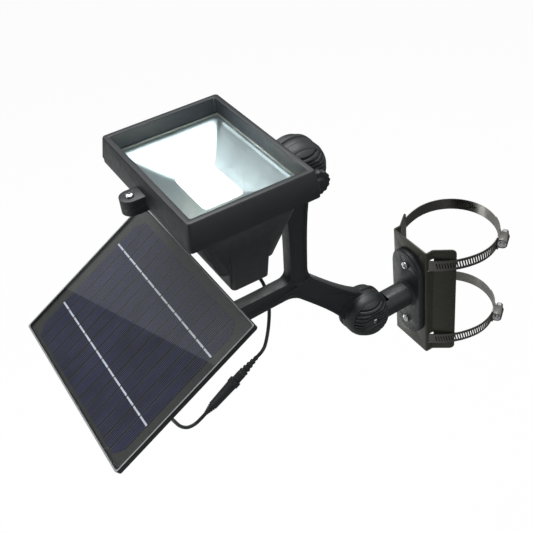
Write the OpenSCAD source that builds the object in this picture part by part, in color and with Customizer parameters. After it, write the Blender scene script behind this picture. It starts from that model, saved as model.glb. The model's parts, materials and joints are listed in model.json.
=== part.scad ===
// Solar flagpole light: a floodlight and a solar panel on a Y-shaped arm, clamped to a pole.
// Millimetres. +Z runs up the pole, -Y points away from it, +X is to the right seen from the front.
// The origin is on the pole's axis, at the middle of the pole bracket's height.

/* [Pole bracket] */
// Radius of the pole that the bands close round
pole_r = 50.8; // [49.5:0.1:52]
// Thickness of the bracket's bent sheet
sheet_t = 1.6; // [1.2:0.1:1.9]
// Width of the bracket's front plate
plate_w = 55.4; // [54:0.2:57]
// Height of the bracket
bracket_h = 150.6; // [146:0.2:160]
// Depth of the bracket's side walls, from the plate's outer face to the bend
side_depth = 9.4; // [9:0.1:10.4]
// Angle between a wing and the front plate
wing_angle = 51.5; // [50.5:0.5:52.5]
// Length of each wing beyond the bend
wing_len = 25; // [24:0.5:27]
// Outer radius of the bracket's front bends
bend_r = 2.4; // [2:0.1:2.8]
// Radius of the wings' outer corners
wing_corner_r = 6; // [3:0.5:9]

/* [Pole bands] */
// Distance of each band's middle from the bracket's middle
band_z = 56; // [54:0.5:60]
// Width of a band
band_w = 14.2; // [12:0.1:15]
// Thickness of a band
band_t = 0.8; // [0.6:0.05:0.9]
// Distance between a band's thread slots
band_slot_pitch = 2.9; // [2.6:0.1:3.4]
// Angle round the pole, from +X, at which the worm drives sit
worm_angle = 36; // [30:1:50]
// Radius of the worm on each tightening screw
worm_r = 4.4; // [4:0.1:4.8]
// Length of each worm housing along the band
worm_housing_len = 14.5; // [12:0.5:16]
// Width across the flats of each tightening screw's head
worm_head_af = 7; // [6:0.5:7.5]
// Length of each tightening screw's head
worm_head_len = 7; // [5:0.5:9]

/* [Knuckles] */
// Distance from a knuckle's pivot to the face that its flange sits on
knuckle_reach = 60; // [58:0.5:61]
// Radius of a ribbed dome at its rim
dome_rim_r = 26; // [25.4:0.1:26]
// Radius of the ball that a dome is cut from
dome_ball_r = 26.5; // [26.4:0.1:27.4]
// Height of a dome above the split between dome and cup
dome_h = 22; // [21:0.1:23]
// Depth of the grooves between the ribs
rib_depth = 1.6; // [1:0.1:2]
// Pitch of the ribs
rib_pitch = 3.8; // [3.6:0.1:4]
// Number of grooves on a dome
rib_grooves = 11; // [8:1:11]
// Depth of each knuckle bolt's head below the top of its dome
bolt_sink = 7.4; // [5:0.2:9]
// Largest radius of a cup on the arm
cup_r = 27; // [26.5:0.1:28]
// Depth of a cup behind the split
cup_depth = 25; // [24.5:0.1:27]
// Radius of a stub
stub_r = 14.5; // [13:0.1:15]
// Thickness of a flange
flange_t = 6; // [5:0.5:7]
// Width of a flange
flange_w = 48; // [44:0.5:50]
// Length of a flange
flange_len = 116; // [108:0.5:118]
// Distance between a flange's two screws
flange_screw_gap = 81.2; // [78:0.2:86]
// Height of the wall knuckle above the bracket's middle
base_z = 4.2; // [-2:0.2:4.2]

/* [Arm] */
// Angle of the stem above the horizontal, seen from +X
stem_angle = 132.1; // [126:0.2:138]
// Length of the stem from the wall knuckle to the hub
stem_len = 113.2; // [112:0.2:124]
// Length of the two branches
branch_len = 141.9; // [140:0.2:150]
// Angle of each branch away from the stem's line
branch_spread = 47.6; // [46:0.2:50]
// Thickness of the arm
arm_t = 13.6; // [12:0.2:14]
// Width of the stem at the hub
stem_w = 25; // [23:0.5:27]
// Width of a branch at the hub
branch_w = 19.5; // [18:0.5:22]
// Wall of the arm's shell
arm_wall = 2.4; // [2:0.1:2.8]
// Thickness of the arm's back cover
cover_t = 2.2; // [1.8:0.1:2.6]

/* [Lamp] */
// Tilt of the lamp from facing straight up
lamp_tilt = -2.8; // [-5:0.1:0]
// Distance from the lamp's pivot to the middle of its face, along the face
lamp_reach = 91; // [90:0.2:100]
// Height of the lamp's face above its pivot
lamp_rise = 54.7; // [52:0.2:58]
// Width of the bezel's front
bezel_w = 160.4; // [156:0.2:168]
// Height of the bezel's front
bezel_l = 115; // [113:0.2:118]
// Depth of the bezel
bezel_d = 20; // [19:0.5:22]
// How far each side of the bezel flares out towards the back
bezel_flare = 2.9; // [2:0.1:3.4]
// Width of the bezel's front face
bezel_land = 5.6; // [5:0.1:6.4]
// Thickness of the glass
glass_t = 3; // [2.5:0.1:3.4]
// How far the tapered housing's left and right sides lie inside the bezel's
side_inset = 6.5; // [6:0.1:7.4]
// How far the tapered housing's near and far sides lie inside the bezel's
end_inset = 7.8; // [7.2:0.1:9]
// Width of the tapered housing's far end
taper_w = 114; // [110:0.5:118]
// Length of the tapered housing's far end
taper_l = 52; // [50:0.5:56]
// Depth of the tapered housing behind the bezel
taper_d = 63.5; // [62:0.5:66]
// Depth of the whole housing behind the bezel
housing_d = 82.5; // [81:0.5:88]
// Wall of the lamp's housing
housing_wall = 2.6; // [2.2:0.1:2.8]
// Radius of the closing ears
ear_r = 9; // [8:0.2:10]
// Distance of the ear's screw from the bezel's front edge
ear_offset = 12; // [11.5:0.1:13]
// Radius of the hand knob on the lamp's knuckle
knob_r = 12; // [10:0.2:14]
// Thickness of the hand knob's rim
knob_t = 6.4; // [5:0.2:8]
// Number of lobes round the hand knob
knob_lobes = 14; // [8:1:16]

/* [Solar panel] */
// Tilt of the panel from lying flat
panel_tilt = 27.9; // [25:0.1:32]
// Height of the panel's face above its pivot
panel_rise = 71.8; // [71.6:0.2:76]
// How far the panel's middle lies down the slope from its pivot
panel_shift = 2; // [0:0.5:5]
// Width of the panel
panel_w = 211.4; // [206:0.2:220]
// Length of the panel along its slope
panel_l = 164; // [160:0.2:172]
// Thickness of the panel's tray
panel_t = 5.4; // [5.2:0.1:6]
// Width of the tray's rim
rim_w = 1.5; // [1.2:0.1:2]
// Width of the field of cells
cell_field_w = 187; // [180:0.5:194]
// Length of the field of cells
cell_field_l = 148; // [144:0.5:152]
// Number of cell strips
cell_strips = 14; // [10:1:16]
// Distance of each busbar from the middle of the panel
busbar_y = 38.5; // [34:0.5:42]

/* [Cable] */
// Diameter of the cable
cable_d = 3.8; // [3.2:0.1:4.2]
// Diameter of the socket's mouth
socket_d = 13; // [12:0.2:14]
// Diameter of the plug
plug_d = 9.6; // [9:0.2:10.4]

/* [Hidden] */

$fn = 64;
eps = 0.02;
fit_gap = 0.05;
run_gap = 0.3;
plastic = [0.13, 0.15, 0.16];
bronze = [0.27, 0.27, 0.24];
steel = [0.72, 0.72, 0.70];

// Pole bracket, worked out so that the wings lie on the pole
half_plate = plate_w / 2;
wing_turn = 90 - wing_angle;
wall_x = half_plate - sheet_t / 2;
bend_y = -(pole_r + fit_gap + sheet_t / 2 - wall_x * sin(wing_angle)) / cos(wing_angle);
plate_y = side_depth - bend_y;
wing_bend_r = 2.2;
wing_end = [wall_x + wing_len * cos(wing_angle), bend_y + wing_len * sin(wing_angle)];

// Bands: a ring on the pole, a bow over each wing and a run behind the plate
band_mid_r = pole_r + band_t / 2;
bow_start = -8;
slot_entry = [half_plate, bend_y - 4];
bow_dir = [cos(bow_start), sin(bow_start)];
bow_shift = (slot_entry * slot_entry - band_mid_r * band_mid_r) / (2 * (band_mid_r - slot_entry * bow_dir));
bow_r = band_mid_r + bow_shift;
bow_centre = -bow_shift * bow_dir;
bow_end = atan2(slot_entry.y - bow_centre.y, slot_entry.x - bow_centre.x);
bow_run = (bow_start - bow_end) * PI / 180 * bow_r;
ring_run = (worm_angle - bow_start) * PI / 180 * band_mid_r - worm_housing_len / 2 - 2;
slot_margin = 3;
slot_count = floor((ring_run + bow_run - slot_margin) / band_slot_pitch);
band_slot_w = 1.2;
band_slot_len = 8;
band_slot_slant = 12;
tail_from = 9;
tail_to = 34;
worm_axis_h = worm_r + 0.3;
worm_wall = 1.5;
worm_tip = 2.2;

// Knuckles
bolt_r = 2;
bolt_head_r = 3.4;
bolt_head_h = 2.4;
bolt_hole_r = bolt_r + fit_gap;
head_seat_x = dome_h - bolt_sink - bolt_head_h;
disc_r = 15;
disc_t = 2.2;
nut_af = 7;
nut_t = 3.2;
screw_r = 2.4;
screw_head_r = 4.6;
screw_head_h = 2.8;
base_nut_af = 8;
base_nut_t = 3.6;

// Arm and pivots
base_pivot = [0, -(plate_y + knuckle_reach), base_z];
hub = base_pivot + stem_len * ray(stem_angle);
up_angle = stem_angle - branch_spread;
out_angle = stem_angle + branch_spread;
lamp_pivot = hub + branch_len * ray(up_angle);
panel_pivot = hub + branch_len * ray(out_angle);
arm_front_x = -5.4;
arm_back_x = arm_front_x - arm_t;
stem_flare = 24;
branch_flare = 22;
inner_fillet = 9;
upper_fillet = 30;
lower_fillet = 24;
recess_d = 1.2;
recess_inset = 3;
recess_rib = 2;
cover_screw_r = 1.4;
cover_boss_r = 3.6;
cover_screw_spots = [[0, 0], [up_angle, 52], [up_angle, 98], [out_angle, 52], [out_angle, 98], [stem_angle + 180, 50]];

// Lamp, measured from the middle of its front face with the face at z = 0
bezel_back = -bezel_d;
bezel_hw = bezel_w / 2;
bezel_hl = bezel_l / 2;
housing_hw = bezel_hw - side_inset;
housing_hl = bezel_hl - end_inset;
opening_hw = bezel_hw - bezel_land;
opening_hl = bezel_hl - bezel_land;
glass_lap = 3;
glass_hw = opening_hw + glass_lap;
glass_hl = opening_hl + glass_lap;
glass_z = bezel_back + 2.5;
taper_z = bezel_back - taper_d;
housing_z = bezel_back - housing_d;
rear_box_top = bezel_back - 23;
rear_box_hw = [taper_w / 2 + 9.2, taper_w / 2 + 1];
rear_box_hl = [22, 18];
mouth_flange_t = 5;
ear_t = 6.5;
ear_y = -(bezel_hl + ear_offset);
ear_top = bezel_back + 7.5;
hinge_y = bezel_hl + bezel_flare + 3.6;
hinge_r = 3.6;
hinge_x = 50;
pin_r = 1.5;
window_hw = 28;
window_hl = 19;
reflector_t = 1.2;
reflector_top = bezel_back - 0.8;
reflector_bottom = bezel_back - 14;
board_t = 1.6;
plate_t = 3;
plate_hw = 48;
plate_hl = 27;
post_x = 42;
post_y = 21.5;
post_r = 2.6;
cell_r = 9.2;
cell_len = 65;
cell_pitch = 18.8;
cell_drop = 46;
cell_z = bezel_back - cell_drop;
cell_gap = 0.1;
holder_wall = 2;
holder_floor = cell_z - cell_r - holder_wall;
fin_count = 4;
fin_pitch = 8;
fin_t = 1.6;
fin_len = 40;
fin_depth = 7;
plate_screw_grip = 9;
chip_size = [2.8, 3.5, 0.8];
chip_pitch = [5.6, 6.4];
chip_rows = [4, 2];
control_size = [40, 26];
control_rise = 7.5;
control_chip = [9, 7, 1.6];
control_chip_x = -8;
capacitor_at = [9, 4];
capacitor_r = 3;
capacitor_h = 6;
knob_clear = 2.4;
knob_hub_r = 3.4;
knob_boss_r = 5.6;
knob_boss_h = 2.4;
knob_lobe_r = 2.2;
stud_end = dome_h + knob_clear + knob_t - 2;
gland_r = 5.5;
gland_len = 9;
lamp_gland_at = [-20, 6];

// Panel, measured from the middle of its face with the face at z = 0
tray_floor = -(panel_t - 1.4);
glass_top = -0.3;
cell_t = 0.35;
sheet_back_t = 1.1;
box_hw = 46;
box_hl = 64;
box_h = panel_rise - knuckle_reach - panel_t;
box_wall = 2.2;
box_y = panel_shift;
box_screw_inset = 7;
panel_gland_at = [36, -32];

// Cable routes: each starts in a gland's mouth and goes on through points chosen by hand
function tilt(p, a) = [p.x, p.y * cos(a) - p.z * sin(a), p.y * sin(a) + p.z * cos(a)];
function from_lamp(p) = lamp_pivot + tilt(p + [0, -lamp_reach, lamp_rise], lamp_tilt);
function from_panel(p) = panel_pivot + tilt(p + [0, -panel_shift, panel_rise], panel_tilt);
gland_in = 2;
gland_bore = gland_in + 0.6;
lamp_lead_from = [lamp_gland_at.x, lamp_gland_at.y, housing_z - gland_len + gland_in];
panel_lead_from = [panel_gland_at.x, panel_gland_at.y, -panel_t - box_h - gland_len + gland_in];
lamp_lead_route = [
    from_lamp(lamp_lead_from), from_lamp(lamp_lead_from - [0, 0, 12]), [-22, -260, 148], [-26, -240, 124], [-27, -227, 104],
    [-27, -222, 82], [-25, -223, 60], [-20, -230, 40], [-13, -240, 27], [-10, -247.1, 22.5], [-10, -254, 18.6]
];
panel_lead_route = [
    [-10, -323, -20.6], [-10, -329.9, -24.5], [-10, -338, -27.6], [-9, -347, -25], [-5, -355, -12],
    [1, -361, 8], [12, -367, 32], [25, -374, 60], [33, -381, 86], from_panel(panel_lead_from - [0, 0, 12]), from_panel(panel_lead_from)
];
boot_len = 21.5;
plug_len = 11;
socket_len = 36;
socket_boot_len = 11.5;
cable_sides = 8;
lead_rings = 22;

// Unit vector at an angle in the YZ plane, measured from +Y towards +Z
function ray(a) = [0, cos(a), sin(a)];
function flat_ray(a) = [cos(a), sin(a)];
function flat_left(a) = [-sin(a), cos(a)];
function unit(v) = v / norm(v);
function arc_points(c, r, a0, a1, n) = [for (i = [0 : n]) c + r * flat_ray(a0 + (a1 - a0) * i / n)];

// Outline of a ribbon of thickness t that follows the points p
function side_dir(p, i) = let (a = p[max(i - 1, 0)], b = p[min(i + 1, len(p) - 1)], d = unit(b - a)) [-d.y, d.x];
function ribbon_outline(p, t) = concat(
    [for (i = [0 : len(p) - 1]) p[i] + side_dir(p, i) * t / 2],
    [for (i = [len(p) - 1 : -1 : 0]) p[i] - side_dir(p, i) * t / 2]
);

// Centre line of the bracket's section: the right half runs from the front bend to the wing's end
front_arc_c = [half_plate - bend_r, -plate_y + bend_r];
wing_arc_run = wing_bend_r * tan(wing_turn / 2);
wing_arc_c = [wall_x + wing_bend_r, bend_y - wing_arc_run];
bracket_half_line = concat(
    arc_points(front_arc_c, bend_r - sheet_t / 2, -90, 0, 6),
    arc_points(wing_arc_c, wing_bend_r, 180, 180 - wing_turn, 4),
    [wing_end]
);
function both_sides(p) = concat([for (i = [len(p) - 1 : -1 : 0]) [-p[i].x, p[i].y]], p);

// Run of a band inside the bracket: across behind the plate, round a bend and out through the slot
inner_bend_r = 4;
entry_heading = bow_end - 90;
inner_turn = 180 + entry_heading;
inner_c = slot_entry + inner_bend_r * flat_left(entry_heading) * -1 + 1.4 * flat_ray(entry_heading);
band_inner_line = concat(
    arc_points(inner_c, inner_bend_r, -90, bow_end, 6),
    [slot_entry - 1.6 * flat_ray(entry_heading)]
);

// Smooth curve through the points p, at t from 0 to 1
function spline_at(p, t) = let (
    n = len(p) - 1,
    i = min(floor(t * n), n - 1),
    u = t * n - i,
    b = p[i],
    c = p[i + 1],
    a = i > 0 ? p[i - 1] : 2 * b - c,
    d = i < n - 1 ? p[i + 2] : 2 * c - b
) 0.5 * (2 * b + (c - a) * u + (2 * a - 5 * b + 4 * c - d) * u * u + (3 * b - a - 3 * c + d) * u * u * u);

// Places
module in_yz(x0, t) { translate([x0, 0, 0]) rotate([90, 0, 90]) linear_extrude(t) children(); }
module along_x(x0, x1, r) { translate([x0, 0, 0]) rotate([0, 90, 0]) cylinder(r = r, h = x1 - x0); }
module at_lamp() { translate(lamp_pivot) rotate([lamp_tilt, 0, 0]) children(); }
module at_lamp_face() { at_lamp() translate([0, -lamp_reach, lamp_rise]) children(); }
module at_panel() { translate(panel_pivot) rotate([panel_tilt, 0, 0]) children(); }
module at_panel_face() { at_panel() translate([0, -panel_shift, panel_rise]) children(); }
module both_x(x) { for (s = [-1, 1]) translate([s * x, 0, 0]) children(); }
module corners(x, y) { for (sx = [-1, 1], sy = [-1, 1]) translate([sx * x, sy * y, 0]) children(); }

// Flat shapes
module round_rect(hx, hy, r) {
    square([2 * hx, 2 * (hy - r)], center = true);
    square([2 * (hx - r), 2 * hy], center = true);
    corners(hx - r, hy - r) circle(r);
}
module sector(r, a0, a1) {
    steps = ceil((a1 - a0) / 20);
    polygon(concat([[0, 0]], [for (i = [0 : steps]) 1.6 * r * flat_ray(a0 + (a1 - a0) * i / steps)]));
}
module ring_sector(r, t, a0, a1) {
    intersection() {
        difference() {
            circle(r + t / 2, $fn = 128);
            circle(r - t / 2, $fn = 128);
        }
        sector(r, a0, a1);
    }
}

// Block that tapers between two rounded rectangles
module taper_block(top, bottom, z_top, z_bottom, r) {
    hull() {
        translate([0, 0, z_top - eps]) linear_extrude(eps) round_rect(top.x, top.y, r, $fn = 24);
        translate([0, 0, z_bottom]) linear_extrude(eps) round_rect(bottom.x, bottom.y, r, $fn = 24);
    }
}

// Fasteners, standing on z = 0 with the head upwards
module pan_head(r, h) {
    intersection() {
        cylinder(r = r, h = h);
        translate([0, 0, h - 1.7 * r]) sphere(1.7 * r);
    }
}
module cross_slot(r, h) {
    for (a = [0, 90]) rotate(a) translate([0, 0, h]) cube([1.1 * r, 0.26 * r, 1.4], center = true);
}
module screw(head_r, head_h, shank_r, length) {
    difference() {
        union() {
            pan_head(head_r, head_h);
            translate([0, 0, -length]) cylinder(r = shank_r, h = length + eps);
        }
        cross_slot(head_r, head_h);
    }
}
module hex_prism(af, h) { cylinder(r = af / 2 / cos(30), h = h, $fn = 6); }
module nut(af, h, bore) {
    difference() {
        hex_prism(af, h);
        translate([0, 0, -1]) cylinder(r = bore, h = h + 2);
    }
}

// Pole bracket: a folded sheet whose two wings lie on the pole
module wing_corner_cut() {
    translate([-wing_corner_r, -2 * sheet_t, -wing_corner_r]) difference() {
        cube([2 * wing_corner_r, 4 * sheet_t, 2 * wing_corner_r]);
        rotate([-90, 0, 0]) translate([0, 0, -1]) cylinder(r = wing_corner_r, h = 4 * sheet_t + 2);
    }
}
module wing_corner_cuts() {
    for (m = [0, 1], u = [0, 1]) mirror([m, 0, 0]) mirror([0, 0, u])
        translate([wing_end.x, wing_end.y, bracket_h / 2]) rotate([0, 0, wing_angle]) wing_corner_cut();
}
module band_openings() {
    slot_h = band_w + 1.6;
    slot_from = -plate_y + bend_r + 0.2;
    for (s = [-1, 1]) both_x(half_plate) translate([-4, slot_from, s * band_z - slot_h / 2])
        cube([8, bend_y + 1.4 - slot_from, slot_h]);
}
module flange_holes(r, depth) {
    for (s = [-1, 1]) translate([0, 0, s * flange_screw_gap / 2]) rotate([90, 0, 0])
        translate([0, 0, -depth]) cylinder(r = r, h = 2 * depth);
}
module pole_bracket() {
    color(bronze) difference() {
        translate([0, 0, -bracket_h / 2]) linear_extrude(bracket_h)
            polygon(ribbon_outline(both_sides(bracket_half_line), sheet_t));
        wing_corner_cuts();
        band_openings();
        translate([0, -plate_y, base_z]) flange_holes(screw_r + 0.2, 5);
    }
}

// Worm-drive bands
module band_strip() {
    linear_extrude(band_w) ring_sector(band_mid_r, band_t, bow_start, 180 - bow_start);
    linear_extrude(band_w) ring_sector(band_mid_r + band_t - eps, band_t, worm_angle + tail_from, worm_angle + tail_to);
    linear_extrude(band_w) polygon(ribbon_outline(both_sides(band_inner_line), band_t));
    for (m = [0, 1]) mirror([m, 0, 0]) translate(bow_centre) linear_extrude(band_w)
        ring_sector(bow_r, band_t, bow_end, bow_start + 0.05);
}
module at_slot(run) {
    if (run < ring_run) rotate([0, 0, bow_start + (ring_run - run) / band_mid_r * 180 / PI])
        translate([band_mid_r, 0, 0]) children();
    else translate(bow_centre) rotate([0, 0, bow_start - (run - ring_run) / bow_r * 180 / PI])
        translate([bow_r, 0, 0]) children();
}
module band_slots_cut() {
    for (i = [0 : slot_count - 1]) at_slot(i * band_slot_pitch)
        rotate([band_slot_slant, 0, 0]) cube([4, band_slot_w, band_slot_len], center = true);
}
module band(z) {
    color(steel) translate([0, 0, z]) difference() {
        translate([0, 0, -band_w / 2]) band_strip();
        band_slots_cut();
    }
}
module at_worm(z) { rotate([0, 0, worm_angle]) translate([pole_r + band_t, 0, z]) children(); }
module worm_housing(z) {
    lip = 1.2;
    color(steel) at_worm(z) difference() {
        translate([0, -worm_housing_len / 2, 0]) rotate([-90, 0, 0]) linear_extrude(worm_housing_len) {
            difference() {
                translate([worm_axis_h, 0]) circle(worm_r + worm_wall);
                translate([fit_gap - worm_r, -band_w]) square([worm_r, 2 * band_w]);
            }
            translate([fit_gap, -worm_r - worm_wall]) square([worm_axis_h, 2 * (worm_r + worm_wall)]);
            translate([fit_gap, -band_w / 2 - lip]) square([1, band_w + 2 * lip]);
            for (s = [-1, 1]) translate([-0.9, s * (band_w / 2 + lip / 2 + 0.1) - lip / 2]) square([1.9, lip]);
        }
        translate([worm_axis_h, -worm_housing_len, 0]) rotate([-90, 0, 0])
            cylinder(r = worm_r + fit_gap, h = 2 * worm_housing_len);
        translate([0, 0, 0]) cube([3, worm_housing_len - 5, 6], center = true);
    }
}
module worm_screw(z) {
    body = worm_housing_len + worm_tip;
    color(steel) at_worm(z) translate([worm_axis_h, -worm_housing_len / 2 - worm_tip, 0]) rotate([-90, 0, 0])
        difference() {
            union() {
                cylinder(r = 2.6, h = worm_tip + eps);
                translate([0, 0, worm_tip]) cylinder(r = worm_r, h = worm_housing_len + 0.4);
                translate([0, 0, body + 0.4 - eps]) hex_prism(worm_head_af, worm_head_len);
            }
            translate([0, 0, body + 0.4 + worm_head_len]) cube([2 * worm_head_af, 1.2, 3], center = true);
        }
}

// Ribbed dome with its stub: one half of a knuckle, pivot at the origin, stub along +Y
module turned_ball(r, rim, x0) {
    rotate([0, 90, 0]) rotate_extrude($fn = 96) intersection() {
        translate([0, dome_h - dome_ball_r]) circle(r, $fn = 96);
        translate([0, x0]) square([rim, 3 * dome_ball_r]);
    }
}
module dome_body() { turned_ball(dome_ball_r, dome_rim_r, 0); }
module dome_grooves() {
    groove_w = 0.44 * rib_pitch;
    lowest = -(rib_grooves - 1) / 2 * rib_pitch - 0.5;
    difference() {
        for (i = [0 : rib_grooves - 1])
            translate([2.4, -40, lowest + i * rib_pitch - groove_w / 2]) cube([40, 80, groove_w]);
        turned_ball(dome_ball_r - rib_depth, dome_ball_r, -2 * dome_ball_r);
    }
}
module stub(length) {
    flat_z = stub_r - 1;
    difference() {
        rotate([-90, 0, 0]) cylinder(r = stub_r, h = length);
        translate([-stub_r, 0, flat_z]) cube([2 * stub_r, length + 1, stub_r]);
        along_x(-40, 0, cup_r + 0.5);
    }
}
module knuckle_half(length) {
    difference() {
        union() {
            difference() {
                dome_body();
                dome_grooves();
            }
            stub(length);
            along_x(0, head_seat_x - 2, 6);
        }
        along_x(-1, dome_h + 5, bolt_r + 0.2);
        along_x(head_seat_x, dome_h + 5, bolt_head_r + 0.4);
    }
}
module flange_plate() {
    bevel = 1.6;
    half = flange_len / 2 - flange_w / 2;
    rotate([90, 0, 0]) {
        for (s = [-1, 1]) translate([0, s * half, 0]) {
            cylinder(r = flange_w / 2, h = flange_t - bevel);
            translate([0, 0, flange_t - bevel]) cylinder(r1 = flange_w / 2, r2 = flange_w / 2 - bevel, h = bevel);
        }
        rotate([90, 0, 0]) linear_extrude(2 * half, center = true) polygon([
            [-flange_w / 2, 0], [flange_w / 2, 0], [flange_w / 2, flange_t - bevel],
            [flange_w / 2 - bevel, flange_t], [bevel - flange_w / 2, flange_t], [-flange_w / 2, flange_t - bevel]
        ]);
    }
}
module flanged_knuckle() {
    difference() {
        union() {
            knuckle_half(knuckle_reach - 1);
            translate([0, knuckle_reach, 0]) flange_plate();
            translate([0, knuckle_reach - flange_t + eps, 0]) rotate([90, 0, 0])
                cylinder(r1 = stub_r + 3, r2 = stub_r, h = 3);
        }
        translate([0, knuckle_reach, 0]) flange_holes(screw_r + 0.2, flange_t + 2);
    }
}
module flange_screws(length) {
    for (s = [-1, 1]) translate([0, knuckle_reach - flange_t, s * flange_screw_gap / 2]) rotate([90, 45, 0])
        screw(screw_head_r, screw_head_h, screw_r, flange_t + length);
}
module knuckle_bolt() {
    translate([head_seat_x, 0, 0]) rotate([0, 90, 0])
        screw(bolt_head_r, bolt_head_h, bolt_r, head_seat_x + cup_depth - 0.6);
}

module base_flange() { color(plastic) translate(base_pivot) flanged_knuckle(); }
module base_screws() { color(steel) translate(base_pivot) flange_screws(sheet_t + base_nut_t + 0.6); }
module base_nuts() {
    color(steel) for (s = [-1, 1])
        translate([0, -plate_y + sheet_t, base_z + s * flange_screw_gap / 2]) rotate([-90, 0, 0])
            nut(base_nut_af, base_nut_t, screw_r + fit_gap);
}
module base_knuckle_bolt() { color(steel) translate(base_pivot) knuckle_bolt(); }

// Arm: a Y-shaped shell with a stepped cup at each end
function flare(w, w_end, s) = w + (w_end - w) * pow(s, 4);
module tapered_bar(a, length, w, w_end, inset) {
    steps = 10;
    rotate(a) polygon(concat(
        [for (i = [0 : steps]) [length * i / steps, flare(w / 2, w_end, i / steps) - inset]],
        [for (i = [steps : -1 : 0]) [length * i / steps, inset - flare(w / 2, w_end, i / steps)]]
    ));
}
module corner_fillet(a1, h1, a2, h2, r) {
    c = ((h2 + r) * flat_ray(a1) + (h1 + r) * flat_ray(a2)) / sin(a2 - a1);
    difference() {
        polygon([[0, 0], c - r * flat_left(a1), c, c + r * flat_left(a2)]);
        translate(c) circle(r + 0.05);
    }
}
module arm_plate(x0, t, inset) {
    hs = stem_w / 2 - inset;
    hb = branch_w / 2 - inset;
    down = stem_angle - 180;
    in_yz(x0, t) tapered_bar(down, stem_len, stem_w, stem_flare, inset);
    for (a = [up_angle, out_angle]) in_yz(x0, t) tapered_bar(a, branch_len, branch_w, branch_flare, inset);
    in_yz(x0, t) corner_fillet(up_angle, hb, out_angle, hb, inner_fillet + inset);
    in_yz(x0, t) corner_fillet(down, hs, up_angle, hb, upper_fillet + inset);
    in_yz(x0, t) corner_fillet(out_angle, hb, down + 360, hs, lower_fillet + inset);
}
module at_cups() { for (p = [base_pivot, lamp_pivot, panel_pivot]) translate(p) children(); }
module at_hub() { translate([0, hub.y, hub.z]) children(); }
module hub_cups(r) { translate([0, -hub.y, -hub.z]) at_cups() along_x(-60, 20, r); }
module cup_body() {
    back = -cup_depth;
    rotate([0, 90, 0]) rotate_extrude($fn = 96) polygon([
        [0, back], [cup_r - 5, back], [cup_r - 3, back + 2], [cup_r - 3, back + 6], [cup_r - 4.4, back + 6.6],
        [cup_r - 4.4, back + 7.4], [cup_r - 0.6, back + 8.2], [cup_r, back + 9], [cup_r, back + 13],
        [cup_r - 1.8, back + 13.8], [cup_r - 1.8, back + 14.6], [cup_r - 0.4, back + 15.4], [cup_r - 0.4, -2.6],
        [cup_r - 1.8, -run_gap], [0, -run_gap]
    ]);
}
module cup_bores() {
    along_x(-cup_depth - 1, 1, bolt_hole_r);
    along_x(-disc_t - 0.2, 1, disc_r + 0.1);
    translate([-cup_depth - 1, 0, 0]) rotate([0, 90, 0]) hex_prism(nut_af + 0.2, nut_t + 1.8);
}
module front_recess() {
    difference() {
        arm_plate(arm_front_x - recess_d, recess_d + 1, recess_inset);
        for (a = [stem_angle, up_angle + 108, stem_angle - 114])
            in_yz(arm_front_x - recess_d - 1, recess_d + 3) rotate(a) translate([0, -recess_rib / 2]) square([60, recess_rib]);
        hub_cups(cup_r + 6);
    }
}
module shell_cavity() {
    difference() {
        arm_plate(arm_back_x - 1, arm_t - arm_wall - recess_d + 1, arm_wall);
        hub_cups(cup_r + 2);
    }
}
module cavity_ribs(t) {
    for (i = [1 : 3]) {
        for (a = [up_angle, out_angle]) in_yz(arm_back_x + cover_t, t) rotate(a) translate([22 + 22 * i, 0])
            square([1.6, branch_w - 2], center = true);
        in_yz(arm_back_x + cover_t, t) rotate(stem_angle + 180) translate([12 + 17 * i, 0])
            square([1.6, stem_w - 2], center = true);
    }
}
module at_cover_screws() {
    for (s = cover_screw_spots) translate([0, s[1] * cos(s[0]), s[1] * sin(s[0])]) children();
}
module arm_shell() {
    rib_x = arm_back_x + cover_t;
    rib_end = arm_front_x - recess_d - 1;
    color(plastic) difference() {
        union() {
            at_hub() {
                difference() {
                    arm_plate(arm_back_x, arm_t, 0);
                    shell_cavity();
                    front_recess();
                }
                cavity_ribs(rib_end - rib_x);
                at_cover_screws() along_x(rib_x, rib_end, cover_boss_r);
            }
            at_cups() cup_body();
        }
        at_cups() cup_bores();
        at_hub() at_cover_screws() along_x(arm_back_x - 1, arm_front_x - 4.4, cover_screw_r + fit_gap);
    }
}
module arm_back_cover() {
    color(plastic) at_hub() difference() {
        arm_plate(arm_back_x, cover_t, arm_wall + 0.15);
        hub_cups(cup_r + 2.15);
        at_cover_screws() along_x(arm_back_x - 1, arm_back_x + cover_t + 1, cover_screw_r + 0.1);
    }
}
module arm_cover_screws() {
    color(steel) at_hub() at_cover_screws() translate([arm_back_x, 0, 0]) rotate([0, -90, 0])
        screw(2.7, 1.6, cover_screw_r, arm_t - 6);
}
module friction_discs() {
    color([0.2, 0.2, 0.2]) at_cups() difference() {
        along_x(-disc_t - 0.2, -0.1, disc_r);
        along_x(-disc_t - 1, 1, bolt_r + 0.3);
    }
}
module knuckle_nuts() {
    color(steel) at_cups() translate([-cup_depth + 0.8 - nut_t + nut_t, 0, 0]) rotate([0, 90, 0])
        translate([0, 0, -0.1]) nut(nut_af, nut_t, bolt_hole_r);
}

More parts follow.
